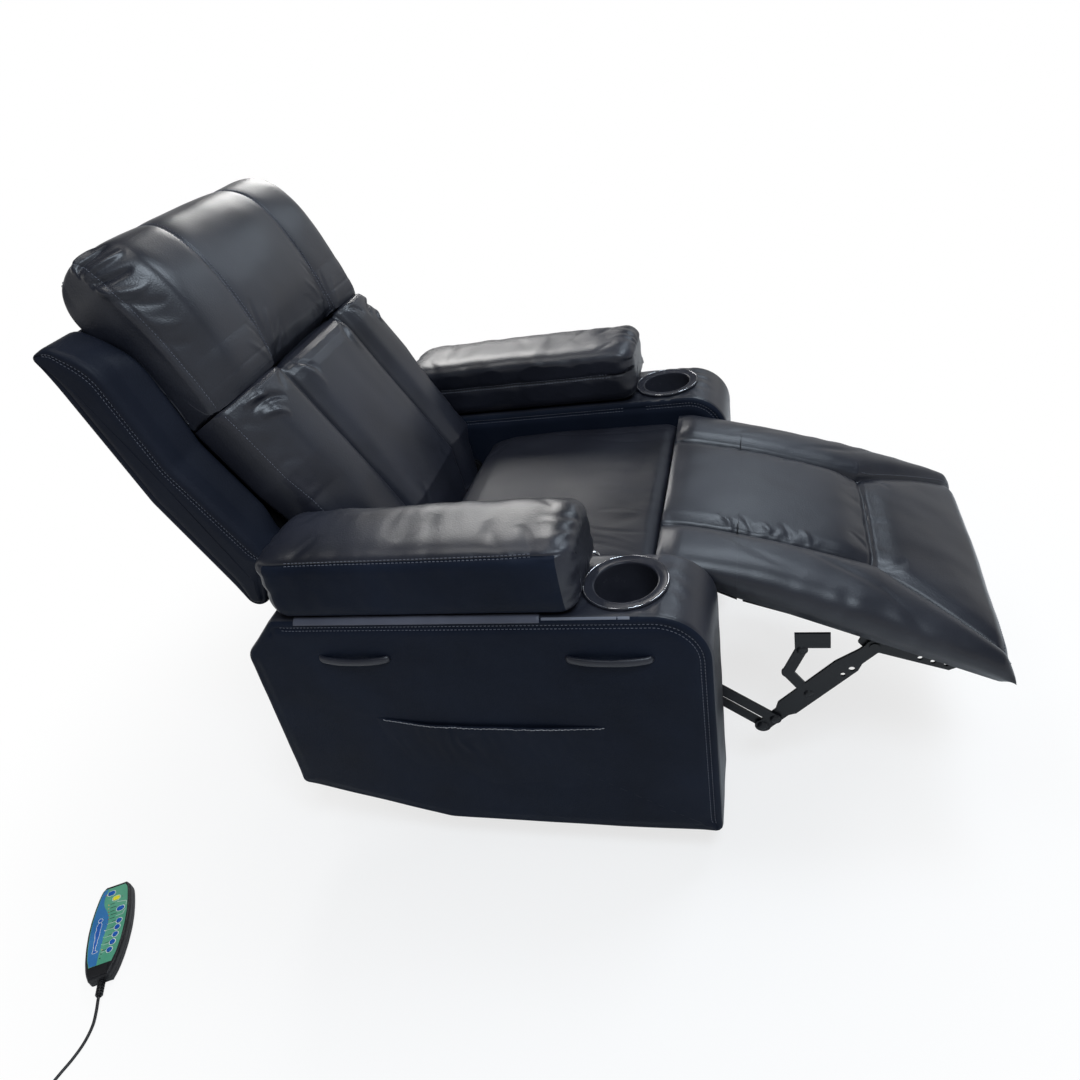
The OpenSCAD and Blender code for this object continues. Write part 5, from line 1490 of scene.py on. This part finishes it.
def sheet_of(name, outlines, low, high, material, replaces=()):
    """Flat printed areas of one colour on the handset's face, as one mesh."""
    points, faces = joined([film(np.asarray(o, float), low, high, handset_place) for o in outlines])
    put(name, points, faces, material, "base", False, replaces)


def rims_of(name, outlines, low, high):
    """White bands round outlines, as one mesh; outlines is a list of (outline, width of the band)."""
    points, faces = joined([ring_film(o, width, low, high, handset_place) for o, width in outlines])
    put(name, points, faces, PRINT_WHITE, "base", False)


def upright(outline, low, high, radius, **settings):
    """Rings (x, y, z) of an outline carried upwards with rounded edges."""
    return np.roll(block(outline, low, high, radius, **settings)[0], -1, axis=-1)


def handset_shell():
    """Shell outline carried up its thickness, edges rounded, with a fine parting line round its side."""
    outline = symmetric(OUTLINE_HALF, 240)
    rings = upright(outline, 0.0, HANDSET_TOP, 5.5, steps=40, face_steps=12, seam_rows=2, seam_step=1.0, spread=6.0)
    z = rings[..., 2]
    body = swell(rings, -0.5 * groove(z - 13, 0.5) + 0.3 * np.sin(math.pi * np.clip(z / 24, 0, 1)))
    body[..., 2] = np.clip(body[..., 2], 0.02, HANDSET_TOP)
    skin(
        "handset_shell", handset_place(body), PLASTIC, "base",
        replaces=("handset_back_shell", "handset_front_shell"),
    )


def handset_face():
    """Printed face: green sheet, blue area with a curved border, rings, bracket and short label bars."""
    face = symmetric(FACE_HALF, 200)
    sheet_of("face_green_film", [face], FILM - 0.2, GREEN_TOP, FACE_GREEN, replaces=("handset_face_panel",))
    y = np.linspace(BORDER[0][0], BORDER[-1][0], 90)
    right = soften(between(BORDER, y), 4)
    left = 0.9 - np.interp(y, [p[0] for p in FACE_HALF], [p[1] for p in FACE_HALF])
    blue = np.vstack([np.column_stack([right, y]), np.column_stack([np.minimum(left, right - 1), y])[::-1]])
    sheet_of("face_blue_film", [blue], GREEN_TOP, BLUE_TOP, FACE_BLUE)
    bracket = [(9, 51), (27, 47), (27, 38)], [(27, 29), (24.5, 20), (12, 20)]
    white = [ribbon(even(b, 20, False), 0.6) for b in bracket]
    white += [ribbon([(-2, y), (x - 5.5, y)], 0.45) for x, y in ROUNDS]
    sheet_of("face_white_lines", white, BLUE_TOP, FILM + 0.28, PRINT_WHITE)
    rims = [(disc(c, ROUND_RIM), 0.9) for c in ROUNDS] + [(capsule(c, *OVAL_RIM), 0.8) for c in OVALS]
    rims_of("key_rims", rims, GREEN_TOP, FILM + 0.3)
    bars = [ribbon([(x + 3.0, y), (x + 11 + (i % 2) * 3, y)], 1.1) for i, (x, y) in enumerate(LAMPS[3:8])]
    bars += [ribbon([(x - 13 - i % 2, y + 2.6), (x - 6.5, y + 2.6)], 1.0) for i, (x, y) in enumerate(ROUNDS)]
    sheet_of("label_bars", bars, GREEN_TOP, BLUE_TOP, PRINT_DARK)


LAMPS = [
    (-15.2, 73.9), (-6.4, 62.4), (17.6, 60.2), (-6.2, 49.4), (-5, 41.5), (-3.6, 33.6), (-2, 26), (-1, 18), (-3, 8),
    (-3.4, -4.6), (-3.5, -18.3), (-4.2, -32.1), (-1.2, -43), (-1.6, -51), (-2, -59),
]
LAMP_COLOURS = {
    "pink": ("e0386a", "f05880", [0]), "green": ("6ad070", "8ae08c", [1, 10, 11]), "grey": ("707a78", "8a9290", [2]),
    "orange": ("f0a050", "f8c078", [3, 4, 12]), "red": ("a04040", "b85850", [5, 6, 7]),
    "blue": ("1a3a8c", "2a4ca0", [8]), "white": ("f0f0ec", "fafaf6", [9]), "dark": ("20282a", "30383a", [13, 14]),
}


def handset_lamps():
    """Small domed lamps, one mesh for each colour; the first stands for the node."""
    sides = 16
    turn = np.linspace(0, math.pi / 2, 5)[:-1]
    rows = [(1.1, FILM)] + [(1.1 * math.cos(a), FILM + 0.2 + 0.6 * math.sin(a)) for a in turn]
    outline = disc((0, 0), 1.0, sides)
    replaced = ("handset_lamps",)
    for colour, (dark, light, places) in LAMP_COLOURS.items():
        material = speckled(f"lamp_{colour}", 900.0, dark, light, (0.15, 0.25), (0.05, 0.0001), coat=0.5)
        parts = []
        for x, y in (LAMPS[i] for i in places):
            rings = np.array([np.column_stack([outline * r + np.array([x, y]), np.full(sides, z)]) for r, z in rows])
            points, faces = capped(rings, ([x, y, FILM], [x, y, FILM + 0.8]))
            parts.append((handset_place(points), faces))
        points, faces = joined(parts)
        put(f"lamps_{colour}", points, faces, material, "base", True, replaced)
        replaced = ()


FIGURE_SIDE = [
    (7.2, -44.4), (6.4, -42.4), (2.0, -40.6), (1.8, -33), (2.9, -26), (2.4, -20), (3.6, -15), (4.2, -8), (3.6, -2),
    (4.0, 3), (4.4, 7), (5.0, 11), (3.2, 14.4), (1.7, 16.2), (-1.7, 16.2), (-3.9, 13), (-4.8, 8), (-3.5, 2), (-4.9, -3),
    (-4.5, -9), (-2.7, -16), (-3.6, -23), (-2.3, -33), (-2.1, -40), (-3.2, -43), (-2.4, -44.8), (2.4, -44.8),
]


def figure_print():
    """A plain standing figure seen from its side: a softened outline and a round head, blue with a white outline."""
    body = even(np.array(FIGURE_SIDE, float), 160)
    body = ring_mean(body, 2) + np.array([-16.0, 0])
    head = disc((-15.6, 20.4), 4.0, 36)
    sheet_of("figure_fill", [body, head], BLUE_TOP, FILM + 0.26, FIGURE_BLUE)
    rims_of("figure_outline", [(body, 0.7), (head, 0.7)], BLUE_TOP, FILM + 0.32)


def key(name, node, outline, material, slot):
    """Key cap: its outline carried up, the top edge rounded and the top flat."""
    rings = upright(outline, KEY_FOOT, KEY_TOP, 0.7, steps=3, face_steps=8, seam_rows=1, seam_step=0.3, spread=0.0)
    skin(name, handset_place(rings), material, f"{node}_cap", (node,))


handset_shell()
handset_face()
handset_lamps()
figure_print()
for word, spot, cap in zip(("power", "heat", "mode"), OVALS, (KEY_BLUE, KEY_YELLOW, KEY_BLUE)):
    look = "yellow_key" if cap is KEY_YELLOW else "blue_key"
    key(f"{word}_key", f"{word}_button", capsule(spot, *OVAL_KEY, 60), cap, look)
for number, spot in enumerate(ROUNDS, 1):
    key(f"zone_key_{number}", f"zone_button_{number}", disc(spot, ROUND_KEY, 48), KEY_BLUE, "blue_key")


# ---- floor, light and background ----
def white_floor():
    """Pale floor that keeps the shadow near the chair and is seen as plain white farther out."""
    size = 30.0
    mesh = bpy.data.meshes.new("floor")
    mesh.from_pydata([(-size, -size, 0), (size, -size, 0), (size, size, 0), (-size, size, 0)], [], [(0, 1, 2, 3)])
    floor = bpy.data.objects.new("floor", mesh)
    bpy.context.scene.collection.objects.link(floor)
    material = bpy.data.materials.new("floor_white")
    material.use_nodes = True
    tree = material.node_tree
    shader = tree.nodes["Principled BSDF"]
    feed(tree, shader, [("Base Color", (0.94, 0.94, 0.94, 1)), ("Roughness", 0.9)])
    place = wire(tree, "ShaderNodeTexCoord")
    far = wire(tree, "ShaderNodeVectorMath", [(0, place.outputs["Object"])], operation="LENGTH")
    fade = wire(
        tree, "ShaderNodeMapRange",
        [("Value", far.outputs["Value"]), ("From Min", 0.5), ("From Max", 1.4), ("To Min", 0.74)],
        interpolation_type="SMOOTHSTEP",
    )
    path = wire(tree, "ShaderNodeLightPath")
    seen = wire(
        tree, "ShaderNodeMath", [(0, path.outputs["Is Camera Ray"]), (1, fade.outputs["Result"])],
        operation="MULTIPLY",
    )
    white = wire(tree, "ShaderNodeEmission", [("Color", (1, 1, 1, 1)), ("Strength", 1.0)])
    mix = wire(tree, "ShaderNodeMixShader", [("Fac", seen.outputs[0]), (1, shader.outputs[0]), (2, white.outputs[0])])
    feed(tree, tree.nodes["Material Output"], [("Surface", mix.outputs[0])])
    mesh.materials.append(material)


def studio_world():
    """Even light; seen, mirrored and through glass it is white at the horizon, and dimmer overhead in mirrors."""
    world = bpy.data.worlds.new("studio")
    bpy.context.scene.world = world
    world.use_nodes = True
    tree = world.node_tree
    tree.nodes.clear()
    path = wire(tree, "ShaderNodeLightPath")
    place = wire(tree, "ShaderNodeTexCoord")
    parts = wire(tree, "ShaderNodeSeparateXYZ", [(0, place.outputs["Generated"])])
    dimmer = wire(
        tree, "ShaderNodeMapRange",
        [("Value", parts.outputs["Z"]), ("From Min", 0.03), ("From Max", 0.4), ("To Min", 1.0), ("To Max", 0.1)],
    )
    ambient, mirrored, white = (
        wire(tree, "ShaderNodeBackground", [("Color", (1, 1, 1, 1)), ("Strength", strength)])
        for strength in (0.22, dimmer.outputs["Result"], 1.0)
    )
    first = wire(
        tree, "ShaderNodeMixShader",
        [("Fac", path.outputs["Is Glossy Ray"]), (1, ambient.outputs[0]), (2, mirrored.outputs[0])],
    )
    direct = wire(
        tree, "ShaderNodeMath", [(0, path.outputs["Is Camera Ray"]), (1, path.outputs["Is Transmission Ray"])],
        operation="MAXIMUM",
    )
    second = wire(
        tree, "ShaderNodeMixShader", [("Fac", direct.outputs[0]), (1, first.outputs[0]), (2, white.outputs[0])]
    )
    wire(tree, "ShaderNodeOutputWorld", [("Surface", second.outputs[0])])


def lamp(name, place, aim, size_x, size_y, power, colour):
    """Rectangular area light at a place in metres, turned to a point."""
    data = bpy.data.lights.new(name, "AREA")
    data.shape = "RECTANGLE"
    data.size, data.size_y = size_x, size_y
    data.energy = power
    data.color = colour
    piece = bpy.data.objects.new(name, data)
    ahead = np.array(aim, float) - np.array(place, float)
    ahead /= np.linalg.norm(ahead)
    side = np.cross(ahead, [0, 0.1, 1])
    side /= np.linalg.norm(side)
    up = np.cross(side, ahead)
    turn = np.eye(4)
    turn[:3, 0], turn[:3, 1], turn[:3, 2], turn[:3, 3] = side, up, -ahead, place
    piece.matrix_world = Matrix(turn.tolist())
    bpy.context.scene.collection.objects.link(piece)


def studio():
    """Floor, surroundings and five soft lights."""
    white_floor()
    studio_world()
    cool, plain = (0.78, 0.89, 1.0), (1.0, 0.99, 0.97)
    lamp("far_front", (2.2, -1.2, 2.1), (0, -0.5, 0.5), 0.9, 0.6, 7, cool)
    lamp("front_overhead", (0.8, -1.3, 2.8), (0, -0.5, 0.5), 1.0, 0.8, 27, cool)
    lamp("far_rear", (2.2, 0.9, 2.0), (0, 0.1, 0.6), 0.9, 0.7, 25, plain)
    lamp("overhead", (0.0, 0.6, 2.9), (0, 0, 0.5), 1.2, 0.6, 12, plain)
    lamp("near_fill", (-1.5, -1.0, 3.0), (0, 0, 0.5), 1.1, 0.8, 50, cool)
    bpy.context.scene.view_settings.view_transform = "Standard"


studio()
